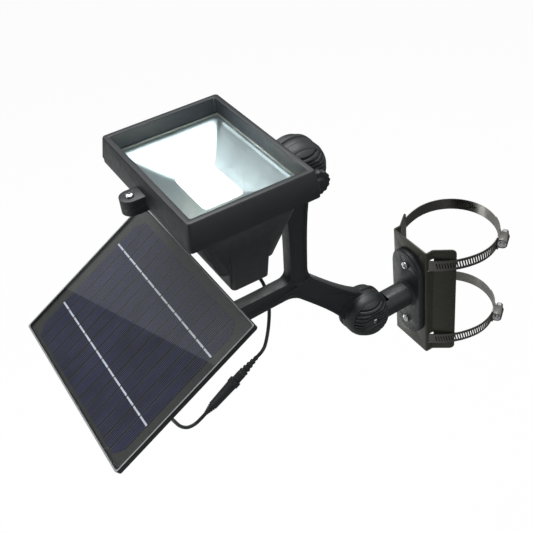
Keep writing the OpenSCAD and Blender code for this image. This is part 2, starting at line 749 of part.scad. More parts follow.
// Lamp
module lamp_ear(z, t, hole) {
    translate([0, ear_y, z]) difference() {
        union() {
            cylinder(r = ear_r, h = t);
            translate([-ear_r, 0, 0]) cube([2 * ear_r, ear_offset, t]);
        }
        translate([0, 0, -1]) cylinder(r = hole, h = t + 2);
    }
}
module hinge_lug(x0, x1, z_web) {
    translate([0, hinge_y, bezel_back]) difference() {
        union() {
            along_x(x0, x1, hinge_r);
            translate([x0, -hinge_r - 2, z_web]) cube([x1 - x0, hinge_r + 2, hinge_r]);
        }
        along_x(x0 - 1, x1 + 1, pin_r + fit_gap);
    }
}
module bezel_body() {
    back_hw = bezel_hw + bezel_flare;
    back_hl = bezel_hl + bezel_flare;
    hull() {
        translate([0, 0, -1]) linear_extrude(1) round_rect(bezel_hw - 0.7, bezel_hl - 0.7, 3, $fn = 24);
        translate([0, 0, -1.2]) linear_extrude(eps) round_rect(bezel_hw, bezel_hl, 3.7, $fn = 24);
        translate([0, 0, bezel_back]) linear_extrude(eps) round_rect(back_hw, back_hl, 3.7, $fn = 24);
    }
}
module lamp_bezel() {
    color(plastic) at_lamp_face() {
        difference() {
            bezel_body();
            translate([0, 0, bezel_back - 1]) linear_extrude(bezel_d + 2) round_rect(opening_hw, opening_hl, 2);
            translate([0, 0, bezel_back - 1]) linear_extrude(glass_z + glass_t + 0.1 - bezel_back + 1)
                round_rect(glass_hw + 0.2, glass_hl + 0.2, 2.2);
        }
        difference() {
            lamp_ear(bezel_back, ear_top - bezel_back, 2.1);
            translate([0, 0, bezel_back - 1]) linear_extrude(bezel_d + 2) square(2 * [bezel_hw, glass_hl + 1], center = true);
        }
        for (s = [-1, 1]) for (x = [s * hinge_x + 6.6, s * hinge_x - 6.6]) hinge_lug(x - 2.3, x + 2.3, 0);
    }
}
module lamp_glass() {
    color([0.8, 0.9, 0.95, 0.4]) at_lamp_face() translate([0, 0, glass_z]) linear_extrude(glass_t)
        round_rect(glass_hw, glass_hl, 2);
}
gasket_out = [glass_hw, glass_hl];
gasket_w = 2.4;
gasket_d = 1.8;
module gasket_ring(grow) {
    difference() {
        round_rect(gasket_out.x + grow, gasket_out.y + grow, 2);
        round_rect(gasket_out.x - gasket_w - grow, gasket_out.y - gasket_w - grow, 1);
    }
}
module lamp_gasket() {
    color([0.3, 0.3, 0.3]) at_lamp_face() translate([0, 0, bezel_back - gasket_d]) linear_extrude(glass_z - bezel_back + gasket_d)
        gasket_ring(0);
}
rim_hw = housing_hw - 0.4;
rim_hl = housing_hl - 0.4;
module housing_outside() {
    side = [bezel_hw + bezel_flare - 0.6, bezel_hl + bezel_flare - 0.6];
    translate([0, 0, bezel_back - mouth_flange_t]) linear_extrude(mouth_flange_t) round_rect(side.x, side.y, 3.4);
    taper_block([housing_hw, housing_hl], [taper_w / 2, taper_l / 2], bezel_back - 1, taper_z, 5);
    taper_block([rear_box_hw[0], rear_box_hl[0]], [rear_box_hw[1], rear_box_hl[1]], rear_box_top, housing_z, 4);
    lamp_ear(bezel_back - ear_t, ear_t, 2.8);
    both_x(hinge_x) hinge_lug(-4, 4, -hinge_r);
}
module housing_inside() {
    w = housing_wall;
    taper_block([housing_hw - w, housing_hl - w], [taper_w / 2 - w, taper_l / 2 - w], bezel_back + 1, taper_z + w, 3);
    taper_block([rear_box_hw[0] - w, rear_box_hl[0] - w], [rear_box_hw[1] - w, rear_box_hl[1] - w], rear_box_top - w,
        housing_z + w, 2);
    translate([0, 0, bezel_back - 2]) linear_extrude(3) round_rect(rim_hw + 0.2, rim_hl + 0.2, 4);
    translate([0, 0, bezel_back - gasket_d]) linear_extrude(gasket_d + 1) gasket_ring(0.1);
}
module housing_posts() {
    floor_z = taper_z + 0.5;
    corners(post_x, post_y) translate([0, 0, floor_z]) cylinder(r = post_r, h = reflector_bottom - board_t - plate_t - floor_z);
    for (x = [-22, 22]) translate([x - 1, -14, housing_z + 0.5]) cube([2, 28, holder_floor - housing_z - 0.5]);
    corners(control_size.x / 2 - 4, control_size.y / 2 - 4) translate([0, 0, housing_z + 0.5])
        cylinder(r = 2.2, h = control_rise - 0.5);
}
module rear_housing() {
    color(plastic) difference() {
        union() {
            at_lamp_face() difference() {
                housing_outside();
                housing_inside();
            }
            at_lamp_face() housing_posts();
            at_lamp() difference() {
                mirror([0, 1, 0]) {
                    knuckle_half(lamp_reach - housing_hl + 20);
                    rotate([-90, 0, 0]) translate([0, 0, lamp_reach - housing_hl]) cylinder(r = stub_r + 3, h = 16);
                }
                translate([0, -lamp_reach, lamp_rise]) housing_inside();
            }
        }
        at_lamp_face() {
            corners(post_x, post_y) translate([0, 0, reflector_bottom - 20]) cylinder(r = 1.25, h = 20);
            translate([lamp_gland_at.x, lamp_gland_at.y, housing_z - 1]) cylinder(r = 3.6, h = 6);
        }
    }
}
module bezel_screw() { color(steel) at_lamp_face() translate([0, ear_y, ear_top]) screw(3.9, 2.4, 2, ear_top - bezel_back + ear_t - 1); }
module bezel_hinge_pins() {
    color(steel) at_lamp_face() both_x(hinge_x) translate([0, hinge_y, bezel_back]) along_x(-9.4, 9.4, pin_r);
}
module reflector() {
    top = [rim_hw - 3, rim_hl - 3];
    color([0.9, 0.9, 0.9]) at_lamp_face() difference() {
        union() {
            translate([0, 0, bezel_back - 2]) linear_extrude(reflector_t) round_rect(rim_hw, rim_hl, 4);
            taper_block([top.x + reflector_t, top.y + reflector_t], [window_hw + reflector_t, window_hl + reflector_t],
                bezel_back - 1, reflector_bottom, 1.5);
        }
        taper_block(top, [window_hw, window_hl], bezel_back + 0.5, reflector_bottom - 0.6, 1);
    }
}
module led_board() {
    color([0.9, 0.9, 0.86]) at_lamp_face() translate([0, 0, reflector_bottom - board_t]) linear_extrude(board_t)
        square(2 * [window_hw + 3, window_hl + 3], center = true);
}
module led_chips() {
    color([1, 0.95, 0.7]) at_lamp_face() for (i = [-chip_rows.x : chip_rows.x], j = [-chip_rows.y : chip_rows.y])
        translate([i * chip_pitch.x, j * chip_pitch.y, reflector_bottom + chip_size.z / 2]) cube(chip_size, center = true);
}
module heat_plate() {
    z = reflector_bottom - board_t - plate_t;
    color([0.7, 0.7, 0.72]) at_lamp_face() difference() {
        union() {
            translate([0, 0, z]) linear_extrude(plate_t) square(2 * [plate_hw, plate_hl], center = true);
            for (i = [-fin_count : fin_count]) translate([i * fin_pitch - fin_t / 2, -fin_len / 2, z - fin_depth])
                cube([fin_t, fin_len, fin_depth + eps]);
        }
        corners(post_x, post_y) translate([0, 0, z - 1]) cylinder(r = 1.5, h = plate_t + 2);
    }
}
module heat_plate_screws() {
    color(steel) at_lamp_face() corners(post_x, post_y) translate([0, 0, reflector_bottom - board_t])
        screw(2.6, 1.4, 1.2, plate_t + plate_screw_grip);
}
module battery_holder() {
    color([0.1, 0.1, 0.1]) at_lamp_face() difference() {
        translate([-cell_len / 2 - holder_wall, -cell_pitch - 0.6, holder_floor])
            cube([cell_len + 2 * holder_wall, 2 * cell_pitch + 1.2, cell_r + holder_wall]);
        for (s = [-1, 1]) translate([0, s * cell_pitch / 2, cell_z])
            along_x(-cell_len / 2 - cell_gap, cell_len / 2 + cell_gap, cell_r + cell_gap);
    }
}
module battery_cells() {
    color([0.2, 0.4, 0.7]) at_lamp_face() for (s = [-1, 1]) translate([0, s * cell_pitch / 2, cell_z])
        along_x(-cell_len / 2, cell_len / 2, cell_r);
}
module control_board() {
    color([0.1, 0.4, 0.2]) at_lamp_face() translate([0, 0, housing_z + control_rise]) {
        linear_extrude(board_t) square(control_size, center = true);
        translate([control_chip_x, 0, board_t + control_chip.z / 2]) cube(control_chip, center = true);
        translate([capacitor_at.x, capacitor_at.y, board_t]) cylinder(r = capacitor_r, h = capacitor_h);
    }
}
module lamp_knuckle_bolt() { color(steel) at_lamp() along_x(0.6 - cup_depth, stud_end, bolt_r); }
module knob_rim(r, h) {
    difference() {
        cylinder(r = r, h = h);
        for (i = [0 : knob_lobes - 1]) rotate(360 * i / knob_lobes) translate([r + 0.6 * knob_lobe_r, 0, -1])
            cylinder(r = knob_lobe_r, h = h + 2, $fn = 24);
    }
}
module lamp_knob() {
    bevel = 0.8;
    color(plastic) at_lamp() difference() {
        union() {
            along_x(head_seat_x + fit_gap, dome_h + knob_clear + 1, knob_hub_r);
            along_x(dome_h + run_gap, dome_h + knob_clear + 1, knob_boss_r);
            translate([dome_h + knob_clear, 0, 0]) rotate([0, 90, 0]) {
                knob_rim(knob_r, knob_t);
                translate([0, 0, knob_t - eps]) cylinder(r1 = knob_boss_r + bevel, r2 = knob_boss_r, h = bevel);
                cylinder(r = knob_boss_r, h = knob_t + knob_boss_h);
            }
        }
        along_x(head_seat_x - 1, stud_end + fit_gap, bolt_hole_r);
    }
}
module gland() {
    difference() {
        union() {
            translate([0, 0, -2]) hex_prism(11, 2);
            translate([0, 0, -gland_len]) cylinder(r1 = cable_d / 2 + 1.4, r2 = gland_r - 0.6, h = gland_len - 2 + eps);
            translate([0, 0, -1]) cylinder(r = 3.4, h = 6);
        }
        translate([0, 0, -gland_len - 1]) cylinder(r = cable_d / 2 + 0.4, h = gland_bore + 1);
    }
}
module lamp_gland() { color(plastic) at_lamp_face() translate([lamp_gland_at.x, lamp_gland_at.y, housing_z]) gland(); }

// Solar panel
module panel_tray() {
    hw = panel_w / 2;
    hl = panel_l / 2;
    color(plastic) at_panel_face() {
        difference() {
            translate([0, 0, -panel_t]) linear_extrude(panel_t) round_rect(hw, hl, 2.5);
            translate([0, 0, tray_floor]) linear_extrude(panel_t) round_rect(hw - rim_w, hl - rim_w, 1);
        }
        for (s = [-1, 1]) {
            translate([0, s * (hl - 9), -panel_t - 1.25]) cube([panel_w - 14, 1.8, 2.6], center = true);
            translate([s * (hw - 9), 0, -panel_t - 1.25]) cube([1.8, panel_l - 14, 2.6], center = true);
            translate([s * (hw + box_hw) / 2, 0, -panel_t - 1.25]) cube([hw - box_hw - 16, 1.8, 2.6], center = true);
        }
        translate([0, box_y, -panel_t - box_h + box_wall]) corners(box_hw - box_screw_inset, box_hl - box_screw_inset)
            difference() {
                cylinder(r = 3.6, h = box_h - box_wall + eps);
                translate([0, 0, -1]) cylinder(r = cover_screw_r + fit_gap, h = box_h - box_wall);
            }
    }
}
module panel_backsheet() {
    color([0.28, 0.26, 0.22]) at_panel_face() translate([0, 0, tray_floor]) linear_extrude(sheet_back_t)
        round_rect(panel_w / 2 - rim_w - 0.2, panel_l / 2 - rim_w - 0.2, 1);
}
cells_bottom = tray_floor + sheet_back_t;
module chamfered_field() {
    hx = cell_field_w / 2;
    hy = cell_field_l / 2;
    cx = 8;
    cy = 11;
    polygon([
        [-hx, cy - hy], [cx - hx, -hy], [hx - cx, -hy], [hx, cy - hy],
        [hx, hy - cy], [hx - cx, hy], [cx - hx, hy], [-hx, hy - cy]
    ]);
}
module solar_cells() {
    pitch = cell_field_w / cell_strips;
    color([0.07, 0.08, 0.2]) at_panel_face() translate([0, -3, cells_bottom]) linear_extrude(cell_t) intersection() {
        chamfered_field();
        for (i = [0 : cell_strips - 1])
            translate([-cell_field_w / 2 + i * pitch + 0.4, -cell_field_l]) square([pitch - 0.8, 2 * cell_field_l]);
    }
}
module busbars() {
    color([0.8, 0.8, 0.82]) at_panel_face() for (s = [-1, 1])
        translate([0, s * busbar_y - 1, cells_bottom + cell_t + 0.1]) cube([cell_field_w - 3, 1.8, 0.2], center = true);
}
module panel_glass() {
    z = cells_bottom + cell_t + 0.25;
    color([0.6, 0.7, 0.9, 0.3]) at_panel_face() translate([0, 0, z]) linear_extrude(glass_top - z)
        round_rect(panel_w / 2 - rim_w - 0.2, panel_l / 2 - rim_w - 0.2, 1);
}
module junction_box() {
    floor_z = -panel_t - box_h;
    color(plastic) at_panel_face() translate([0, box_y, 0]) difference() {
        union() {
            difference() {
                translate([0, 0, floor_z]) linear_extrude(box_h) round_rect(box_hw, box_hl, 6);
                translate([0, 0, floor_z + box_wall]) linear_extrude(box_h) round_rect(box_hw - box_wall, box_hl - box_wall, 4);
            }
            for (s = [-1, 1]) translate([0, s * flange_screw_gap / 2, floor_z]) cylinder(r = 5, h = box_h - 0.2);
        }
        for (s = [-1, 1]) translate([0, s * flange_screw_gap / 2, floor_z - 1]) cylinder(r = screw_r + fit_gap, h = box_h - 0.2);
        translate([0, 0, floor_z - 1]) corners(box_hw - box_screw_inset, box_hl - box_screw_inset)
            cylinder(r = cover_screw_r + 0.2, h = box_wall + 2);
        translate([panel_gland_at.x, panel_gland_at.y - box_y, floor_z - 1]) cylinder(r = 3.6, h = box_wall + 2);
    }
}
module junction_box_screws() {
    color(steel) at_panel_face() translate([0, box_y, -panel_t - box_h]) rotate([180, 0, 0])
        corners(box_hw - box_screw_inset, box_hl - box_screw_inset) screw(2.7, 1.6, cover_screw_r, box_h - 2);
}
module at_panel_knuckle() { at_panel() rotate([90, 0, 0]) children(); }
module panel_flange() { color(plastic) at_panel_knuckle() flanged_knuckle(); }
module panel_flange_screws() { color(steel) at_panel_knuckle() flange_screws(box_h - 2); }
module panel_knuckle_bolt() { color(steel) at_panel() knuckle_bolt(); }
module panel_gland() {
    color(plastic) at_panel_face() translate([panel_gland_at.x, panel_gland_at.y, -panel_t - box_h]) gland();
}

// Cable: two leads that meet at a plug and its socket
function rot_to(d) = [0, acos(d.z / norm(d)), atan2(d.y, d.x)];
function tube_ring(c, d, r) = let (
    w = unit(d),
    s = unit(cross(w, [1, 0, 0])),
    t = cross(w, s)
) [for (k = [0 : cable_sides - 1]) c + r * (cos(360 * k / cable_sides) * s + sin(360 * k / cable_sides) * t)];
module lead(route) {
    n = lead_rings;
    line = [for (i = [0 : n]) spline_at(route, i / n)];
    points = [for (i = [0 : n]) each tube_ring(line[i],
        i == 0 ? line[1] - line[0] : i == n ? line[n] - line[n - 1] : line[i + 1] - line[i - 1], cable_d / 2)];
    k = cable_sides;
    side_faces = [for (i = [0 : n - 1], j = [0 : k - 1]) each [
        [i * k + j, i * k + (j + 1) % k, (i + 1) * k + (j + 1) % k],
        [i * k + j, (i + 1) * k + (j + 1) % k, (i + 1) * k + j]
    ]];
    ends = [[for (j = [k - 1 : -1 : 0]) j], [for (j = [0 : k - 1]) n * k + j]];
    polyhedron(points, concat(side_faces, ends));
}
plug_start = lamp_lead_route[len(lamp_lead_route) - 1];
socket_end = panel_lead_route[0];
connector_dir = unit(socket_end - plug_start);
module along_connector(from) { translate(plug_start + connector_dir * from) rotate(rot_to(connector_dir)) children(); }
module boot(length, r0, r1) {
    ribs = 4;
    step = length / (2 * ribs + 1);
    rotate_extrude($fn = 32) polygon(concat(
        [[0, 0]],
        [for (i = [0 : 2 * ribs]) let (r = r0 + (r1 - r0) * i / (2 * ribs), k = i % 2 == 0 ? r : 0.78 * r)
            each [[k, i * step], [k, (i + 1) * step]]],
        [[0, length]]
    ));
}
module cable_plug() {
    shoulder = boot_len + plug_len;
    color(plastic) along_connector(0.1) {
        boot(boot_len, cable_d / 2 + 0.5, plug_d / 2);
        translate([0, 0, boot_len - eps]) cylinder(r1 = plug_d / 2 - 0.5, r2 = plug_d / 2, h = 2, $fn = 32);
        translate([0, 0, boot_len + 1.9]) cylinder(r = plug_d / 2, h = plug_len - 1.9, $fn = 32);
        translate([0, 0, shoulder - eps]) cylinder(r = 2.7, h = 9, $fn = 32);
    }
}
module cable_socket() {
    from = boot_len + plug_len + 0.2;
    last = norm(socket_end - plug_start) - 0.1;
    color(plastic) along_connector(from) difference() {
        union() {
            cylinder(r = socket_d / 2, h = 6, $fn = 32);
            translate([0, 0, 6 - eps]) cylinder(r1 = socket_d / 2 - 0.8, r2 = plug_d / 2, h = last - from - socket_boot_len - 6 + 2 * eps, $fn = 32);
            translate([0, 0, last - from]) mirror([0, 0, 1]) boot(socket_boot_len, cable_d / 2 + 0.6, plug_d / 2);
        }
        translate([0, 0, -1]) cylinder(r = 2.8, h = 11, $fn = 32);
    }
}
module lamp_lead() { color(plastic) lead(lamp_lead_route); }
module panel_lead() { color(plastic) lead(panel_lead_route); }

pole_bracket();
band(band_z);  // upper_band
band(-band_z);  // lower_band
worm_housing(band_z);  // upper_worm_housing
worm_housing(-band_z);  // lower_worm_housing
worm_screw(band_z);  // upper_worm_screw
worm_screw(-band_z);  // lower_worm_screw
base_flange();
base_screws();
base_nuts();
base_knuckle_bolt();
arm_shell();
arm_back_cover();
arm_cover_screws();
friction_discs();
knuckle_nuts();
rear_housing();
lamp_bezel();
lamp_glass();
lamp_gasket();
bezel_screw();
bezel_hinge_pins();
reflector();
led_board();
led_chips();
heat_plate();
heat_plate_screws();
battery_holder();
battery_cells();
control_board();
lamp_knuckle_bolt();
lamp_knob();
lamp_gland();
panel_tray();
panel_backsheet();
solar_cells();
busbars();
panel_glass();
junction_box();
junction_box_screws();
panel_flange();
panel_flange_screws();
panel_knuckle_bolt();
panel_gland();
lamp_lead();
cable_plug();
cable_socket();
panel_lead();
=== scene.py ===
"""Looks of a solar flagpole light: finishes, fasteners, cable, lamp optics and panel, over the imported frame.

Lengths are in metres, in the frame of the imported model: +Z up the pole, -Y away from it, +X to the right.
"""

import json
import logging
import math
from dataclasses import dataclass, field
from enum import Enum
from typing import Any, Optional, Sequence

import bmesh
import bpy
from mathutils import Matrix, Vector

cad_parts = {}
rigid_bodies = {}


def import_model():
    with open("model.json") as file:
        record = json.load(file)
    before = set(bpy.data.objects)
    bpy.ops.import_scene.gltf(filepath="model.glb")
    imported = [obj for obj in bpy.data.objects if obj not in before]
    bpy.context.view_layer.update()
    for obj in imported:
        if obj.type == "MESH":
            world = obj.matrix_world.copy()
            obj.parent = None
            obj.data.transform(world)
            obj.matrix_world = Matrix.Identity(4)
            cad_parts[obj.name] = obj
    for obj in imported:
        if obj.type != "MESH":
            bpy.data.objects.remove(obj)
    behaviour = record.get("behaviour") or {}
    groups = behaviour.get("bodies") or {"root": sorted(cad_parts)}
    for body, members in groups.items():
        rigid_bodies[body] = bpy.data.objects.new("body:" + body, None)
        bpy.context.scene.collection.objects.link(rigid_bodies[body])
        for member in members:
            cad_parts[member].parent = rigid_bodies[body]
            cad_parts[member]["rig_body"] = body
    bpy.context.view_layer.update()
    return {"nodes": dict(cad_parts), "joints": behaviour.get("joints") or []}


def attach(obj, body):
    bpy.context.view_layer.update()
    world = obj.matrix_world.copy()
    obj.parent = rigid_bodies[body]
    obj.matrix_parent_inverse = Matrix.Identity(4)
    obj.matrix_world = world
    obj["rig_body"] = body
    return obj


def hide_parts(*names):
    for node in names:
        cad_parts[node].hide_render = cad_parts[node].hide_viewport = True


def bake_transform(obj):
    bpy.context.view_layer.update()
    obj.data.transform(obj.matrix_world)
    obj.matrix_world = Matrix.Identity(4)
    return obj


log = logging.getLogger("flagpole_light")

MM = 0.001
# Distance under which the corners of a CAD mesh are merged
WELD = 4e-6
# Width of the field of cells, and the strips across it
FIELD_W = 187 * MM
STRIPS = 14

Point = tuple[float, float, float]
Stop = tuple[float, float]
Seat = tuple[Vector, Vector]
Piece = bpy.types.Object
Socket = bpy.types.NodeSocket


def tint(code: str) -> tuple[float, float, float, float]:
    """Turns a written colour into the linear values that a shader takes.

    Args:
        code: The colour as six hexadecimal digits, such as "2a2e30".

    Returns:
        Linear red, green and blue, and an alpha of 1.
    """
    parts = [int(code[i : i + 2], 16) / 255 for i in (0, 2, 4)]
    linear = [p / 12.92 if p <= 0.04045 else ((p + 0.055) / 1.055) ** 2.4 for p in parts]
    return (linear[0], linear[1], linear[2], 1.0)


# Finishes


def add_node(tree: Any, kind: str, inputs: Optional[dict[Any, Any]], settings: dict[str, Any]) -> Any:
    """Adds a node to a tree, sets its own settings and feeds its inputs.

    Args:
        tree: The node tree.
        kind: The node's type, such as "ShaderNodeTexNoise".
        inputs: Input name or number, and the socket or constant that feeds it.
        settings: Attributes of the node itself.

    Returns:
        The new node.
    """
    node = tree.nodes.new(kind)
    for key, value in settings.items():
        setattr(node, key, value)
    for key, value in (inputs or {}).items():
        if isinstance(value, Socket):
            tree.links.new(value, node.inputs[key])
        else:
            node.inputs[key].default_value = value
    return node


class Graph:
    """The node tree of a material or a world while it is being built."""

    def __init__(self, owner: Any) -> None:
        """Starts an empty tree.

        Args:
            owner: The material's name, or a world that the tree belongs to.
        """
        self.owner = bpy.data.materials.new(owner) if isinstance(owner, str) else owner
        self.owner.use_nodes = True
        self.tree = self.owner.node_tree
        self.tree.nodes.clear()
        self.place = self.add("ShaderNodeTexCoord").outputs["Object"]

    def add(self, kind: str, inputs: Optional[dict[Any, Any]] = None, **settings: Any) -> bpy.types.Node:
        """Adds a node to this tree, as add_node does."""
        return add_node(self.tree, kind, inputs, settings)

    def maths(self, operation: str, *values: Any) -> Socket:
        """Adds a Math node and returns its result."""
        return self.add("ShaderNodeMath", dict(enumerate(values)), operation=operation).outputs[0]

    def noise(
        self, size: float, detail: float = 2.0, stretch: Point = (1, 1, 1), place: Optional[Socket] = None
    ) -> Socket:
        """Adds a noise whose features are about one size.

        Args:
            size: Feature size in metres.
            detail: Number of finer octaves.
            stretch: How much longer a feature is along each axis.
            place: The coordinates to read, or None for the object's own.

        Returns:
            The noise's value, around 0.5.
        """
        scale = tuple(1 / (size * s) for s in stretch)
        mapped = self.add("ShaderNodeMapping", {"Vector": place or self.place, "Scale": scale}).outputs[0]
        return self.add("ShaderNodeTexNoise", {"Vector": mapped, "Scale": 1.0, "Detail": detail}).outputs[0]

    def spread(
        self, value: Socket, low: float, high: float, to_low: float = 0.0, to_high: float = 1.0
    ) -> Socket:
        """Maps a value from one range to another, clamped."""
        sockets = {"Value": value, "From Min": low, "From Max": high, "To Min": to_low, "To Max": to_high}
        return self.add("ShaderNodeMapRange", sockets).outputs[0]

    def between(self, share: Any, a: Any, b: Any) -> Socket:
        """Mixes colour a towards colour b by a share."""
        return self.add("ShaderNodeMix", {0: share, 6: a, 7: b}, data_type="RGBA").outputs[2]

    def bump(self, height: Any, depth: float, strength: float = 1.0, over: Any = None) -> Socket:
        """Adds a bump of a real depth in metres, over an earlier one if given."""
        sockets = {"Height": height, "Distance": depth, "Strength": strength}
        if over is not None:
            sockets["Normal"] = over
        return self.add("ShaderNodeBump", sockets).outputs[0]

    def along(self, vector: Any, way: Point) -> Socket:
        """Measures how far a vector goes along a direction."""
        return self.add("ShaderNodeVectorMath", {0: vector, 1: way}, operation="DOT_PRODUCT").outputs["Value"]

    def mixed(self, share: Socket, first: bpy.types.Node, second: bpy.types.Node) -> Socket:
        """Mixes one shader towards another by a share."""
        pair = {0: share, 1: first.outputs[0], 2: second.outputs[0]}
        return self.add("ShaderNodeMixShader", pair).outputs[0]

    def surface(self, sockets: dict[str, Any]) -> bpy.types.Material:
        """Ends the tree in one surface shader with those inputs and returns the material."""
        return self.end(self.add("ShaderNodeBsdfPrincipled", sockets).outputs[0])

    def end(self, shader: Socket, output: str = "ShaderNodeOutputMaterial") -> Any:
        """Sends a shader to the surface and returns the material or the world."""
        self.add(output, {"Surface": shader})
        return self.owner


@dataclass(frozen=True)
class Finish:
    """What every finish has: a name and a main colour."""

    name: str
    colour: str

    def make(self) -> bpy.types.Material:
        """Builds the material; each kind of finish has its own way."""
        raise NotImplementedError


@dataclass(frozen=True)
class Moulding(Finish):
    """Moulded plastic or rubber with a spark-eroded grain and a faint flow mottle."""

    pale: str = "272c2f"
    mottle: float = 0.35
    grain: float = 0.00042
    grain_depth: float = 0.00003
    shine: Stop = (0.40, 0.52)
    specular: float = 0.5
    mottle_size: float = 34 * MM
    smear_size: float = 6 * MM
    wave_size: float = 11 * MM
    wave_depth: float = 0.06 * MM
    edge_r: float = 0.9 * MM

    def make(self) -> bpy.types.Material:
        """Builds the grain, the mottle and the shine that follows them.

        Returns:
            The finished material.
        """
        g = Graph(self.name)
        flow = g.noise(self.mottle_size, 4.0, (1.0, 1.6, 1.0))
        fine = g.noise(self.grain, 2.0)
        share = g.maths("MULTIPLY", g.spread(flow, 0.35, 0.72), self.mottle)
        colour = g.between(share, tint(self.colour), tint(self.pale))
        rough = g.spread(g.noise(self.smear_size, 5.0), 0.3, 0.7, *self.shine)
        edge = g.add("ShaderNodeBevel", {"Radius": self.edge_r}, samples=6).outputs[0]
        normal = g.bump(fine, self.grain_depth, 0.5, edge)
        normal = g.bump(g.noise(self.wave_size, 1.0), self.wave_depth, 0.4, normal)
        sockets = {"Base Color": colour, "Roughness": rough, "Normal": normal}
        return g.surface({**sockets, "Specular IOR Level": self.specular})


@dataclass(frozen=True)
class CoatedSheet(Finish):
    """Bent sheet with a satin coating that thins to a paler tone in small flecks."""

    fleck: str = "4e4e45"
    fleck_size: float = 1.1 * MM
    cloud_size: float = 21 * MM
    smear_size: float = 4 * MM
    peel_size: float = 1.6 * MM
    peel_depth: float = 0.04 * MM
    edge_r: float = 0.5 * MM
    shine: Stop = (0.26, 0.36)
    metal: float = 0.6

    def make(self) -> bpy.types.Material:
        """Builds the coating with its orange-peel bump and its flecks."""
        g = Graph(self.name)
        cloud = g.noise(self.cloud_size, 4.0)
        specks = g.spread(g.noise(self.fleck_size, 2.0), 0.64, 0.72)
        tone = g.between(g.spread(cloud, 0.3, 0.75, 0.0, 0.45), tint(self.colour), tint(self.fleck))
        colour = g.between(g.maths("MULTIPLY", specks, 0.35), tone, tint(self.fleck))
        rough = g.spread(g.noise(self.smear_size, 4.0), 0.3, 0.7, *self.shine)
        edge = g.add("ShaderNodeBevel", {"Radius": self.edge_r}, samples=4).outputs[0]
        normal = g.bump(g.noise(self.peel_size, 2.0), self.peel_depth, 0.5, edge)
        sockets = {"Base Color": colour, "Roughness": rough, "Normal": normal, "Metallic": self.metal}
        return g.surface(sockets)


@dataclass(frozen=True)
class RolledStrip(Finish):
    """Stainless strip with rolling lines along its length, round the pole's axis."""

    dark: str = "605f5c"
    bend_r: float = 50 * MM
    line_size: float = 0.35 * MM
    line_depth: float = 0.012 * MM
    stain_size: float = 9 * MM
    shine: Stop = (0.2, 0.36)

    def make(self) -> bpy.types.Material:
        """Builds the rolling lines from the height and the angle round the pole."""
        g = Graph(self.name)
        split = g.add("ShaderNodeSeparateXYZ", {0: g.place})
        angle = g.maths("ARCTAN2", split.outputs[1], split.outputs[0])
        run = g.maths("MULTIPLY", angle, self.bend_r)
        around = g.add("ShaderNodeCombineXYZ", {0: run, 2: split.outputs[2]}).outputs[0]
        lines = g.noise(self.line_size, 3.0, (60, 1, 1), around)
        stain = g.noise(self.stain_size, 4.0)
        colour = g.between(g.spread(lines, 0.3, 0.7, 0.0, 0.6), tint(self.colour), tint(self.dark))
        rough = g.spread(stain, 0.3, 0.75, *self.shine)
        normal = g.bump(lines, self.line_depth, 0.6)
        sockets = {"Base Color": colour, "Roughness": rough, "Normal": normal, "Metallic": 1.0}
        return g.surface(sockets)


@dataclass(frozen=True)
class PlatedSteel(Finish):
    """Zinc plate or bare metal: bright, slightly cloudy, with fine scratches."""

    cloud: str = "b9bcc0"
    shine: Stop = (0.18, 0.34)
    metal: float = 1.0
    cloud_size: float = 3 * MM
    scratch_size: float = 0.3 * MM
    scratch_depth: float = 0.008 * MM

    def make(self) -> bpy.types.Material:
        """Builds the plating's clouds and its fine scratches."""
        g = Graph(self.name)
        clouds = g.noise(self.cloud_size, 4.0)
        scratches = g.noise(self.scratch_size, 2.0, (1, 9, 1))
        colour = g.between(g.spread(clouds, 0.3, 0.7), tint(self.colour), tint(self.cloud))
        rough = g.spread(clouds, 0.3, 0.75, *self.shine)
        normal = g.bump(scratches, self.scratch_depth, 0.5)
        sockets = {"Base Color": colour, "Roughness": rough, "Normal": normal, "Metallic": self.metal}
        return g.surface(sockets)


@dataclass(frozen=True)
class MirrorCoat(Finish):
    """Vacuum-coated reflector: a mirror whose pressed sheet is slightly wavy."""

    wave_size: float = 30 * MM
    wave_depth: float = 1.2 * MM
    smear_size: float = 8 * MM
    shine: Stop = (0.3, 0.4)

    def make(self) -> bpy.types.Material:
        """Builds the mirror over the waves of the pressed sheet."""
        g = Graph(self.name)
        normal = g.bump(g.noise(self.wave_size, 1.0), self.wave_depth, 0.5)
        rough = g.spread(g.noise(self.smear_size, 3.0), 0.3, 0.7, *self.shine)
        sockets = {"Base Color": tint(self.colour), "Roughness": rough, "Normal": normal, "Metallic": 1.0}
        return g.surface(sockets)


@dataclass(frozen=True)
class ClearPane(Finish):
    """Thin clear glass: what is behind shows through, and the surface reflects by the angle."""

    ior: float = 1.45
    haze: float = 0.03
    haze_growth: float = 2.2
    smear_size: float = 30 * MM

    def make(self) -> bpy.types.Material:
        """Builds the pane from a see-through and a glossy shader, with a faint smear in its shine."""
        g = Graph(self.name)
        rough = g.spread(g.noise(self.smear_size, 4.0), 0.35, 0.75, self.haze, self.haze * self.haze_growth)
        through = g.add("ShaderNodeBsdfTransparent", {"Color": tint(self.colour)})
        gloss = g.add("ShaderNodeBsdfGlossy", {"Color": (1, 1, 1, 1), "Roughness": rough})
        facing = g.add("ShaderNodeLayerWeight", {"Blend": 0.5}).outputs[1]
        head_on = ((self.ior - 1) / (self.ior + 1)) ** 2
        share = g.maths("MULTIPLY_ADD", g.maths("POWER", facing, 5.0), 1 - head_on, head_on)
        return g.end(g.mixed(share, through, gloss))


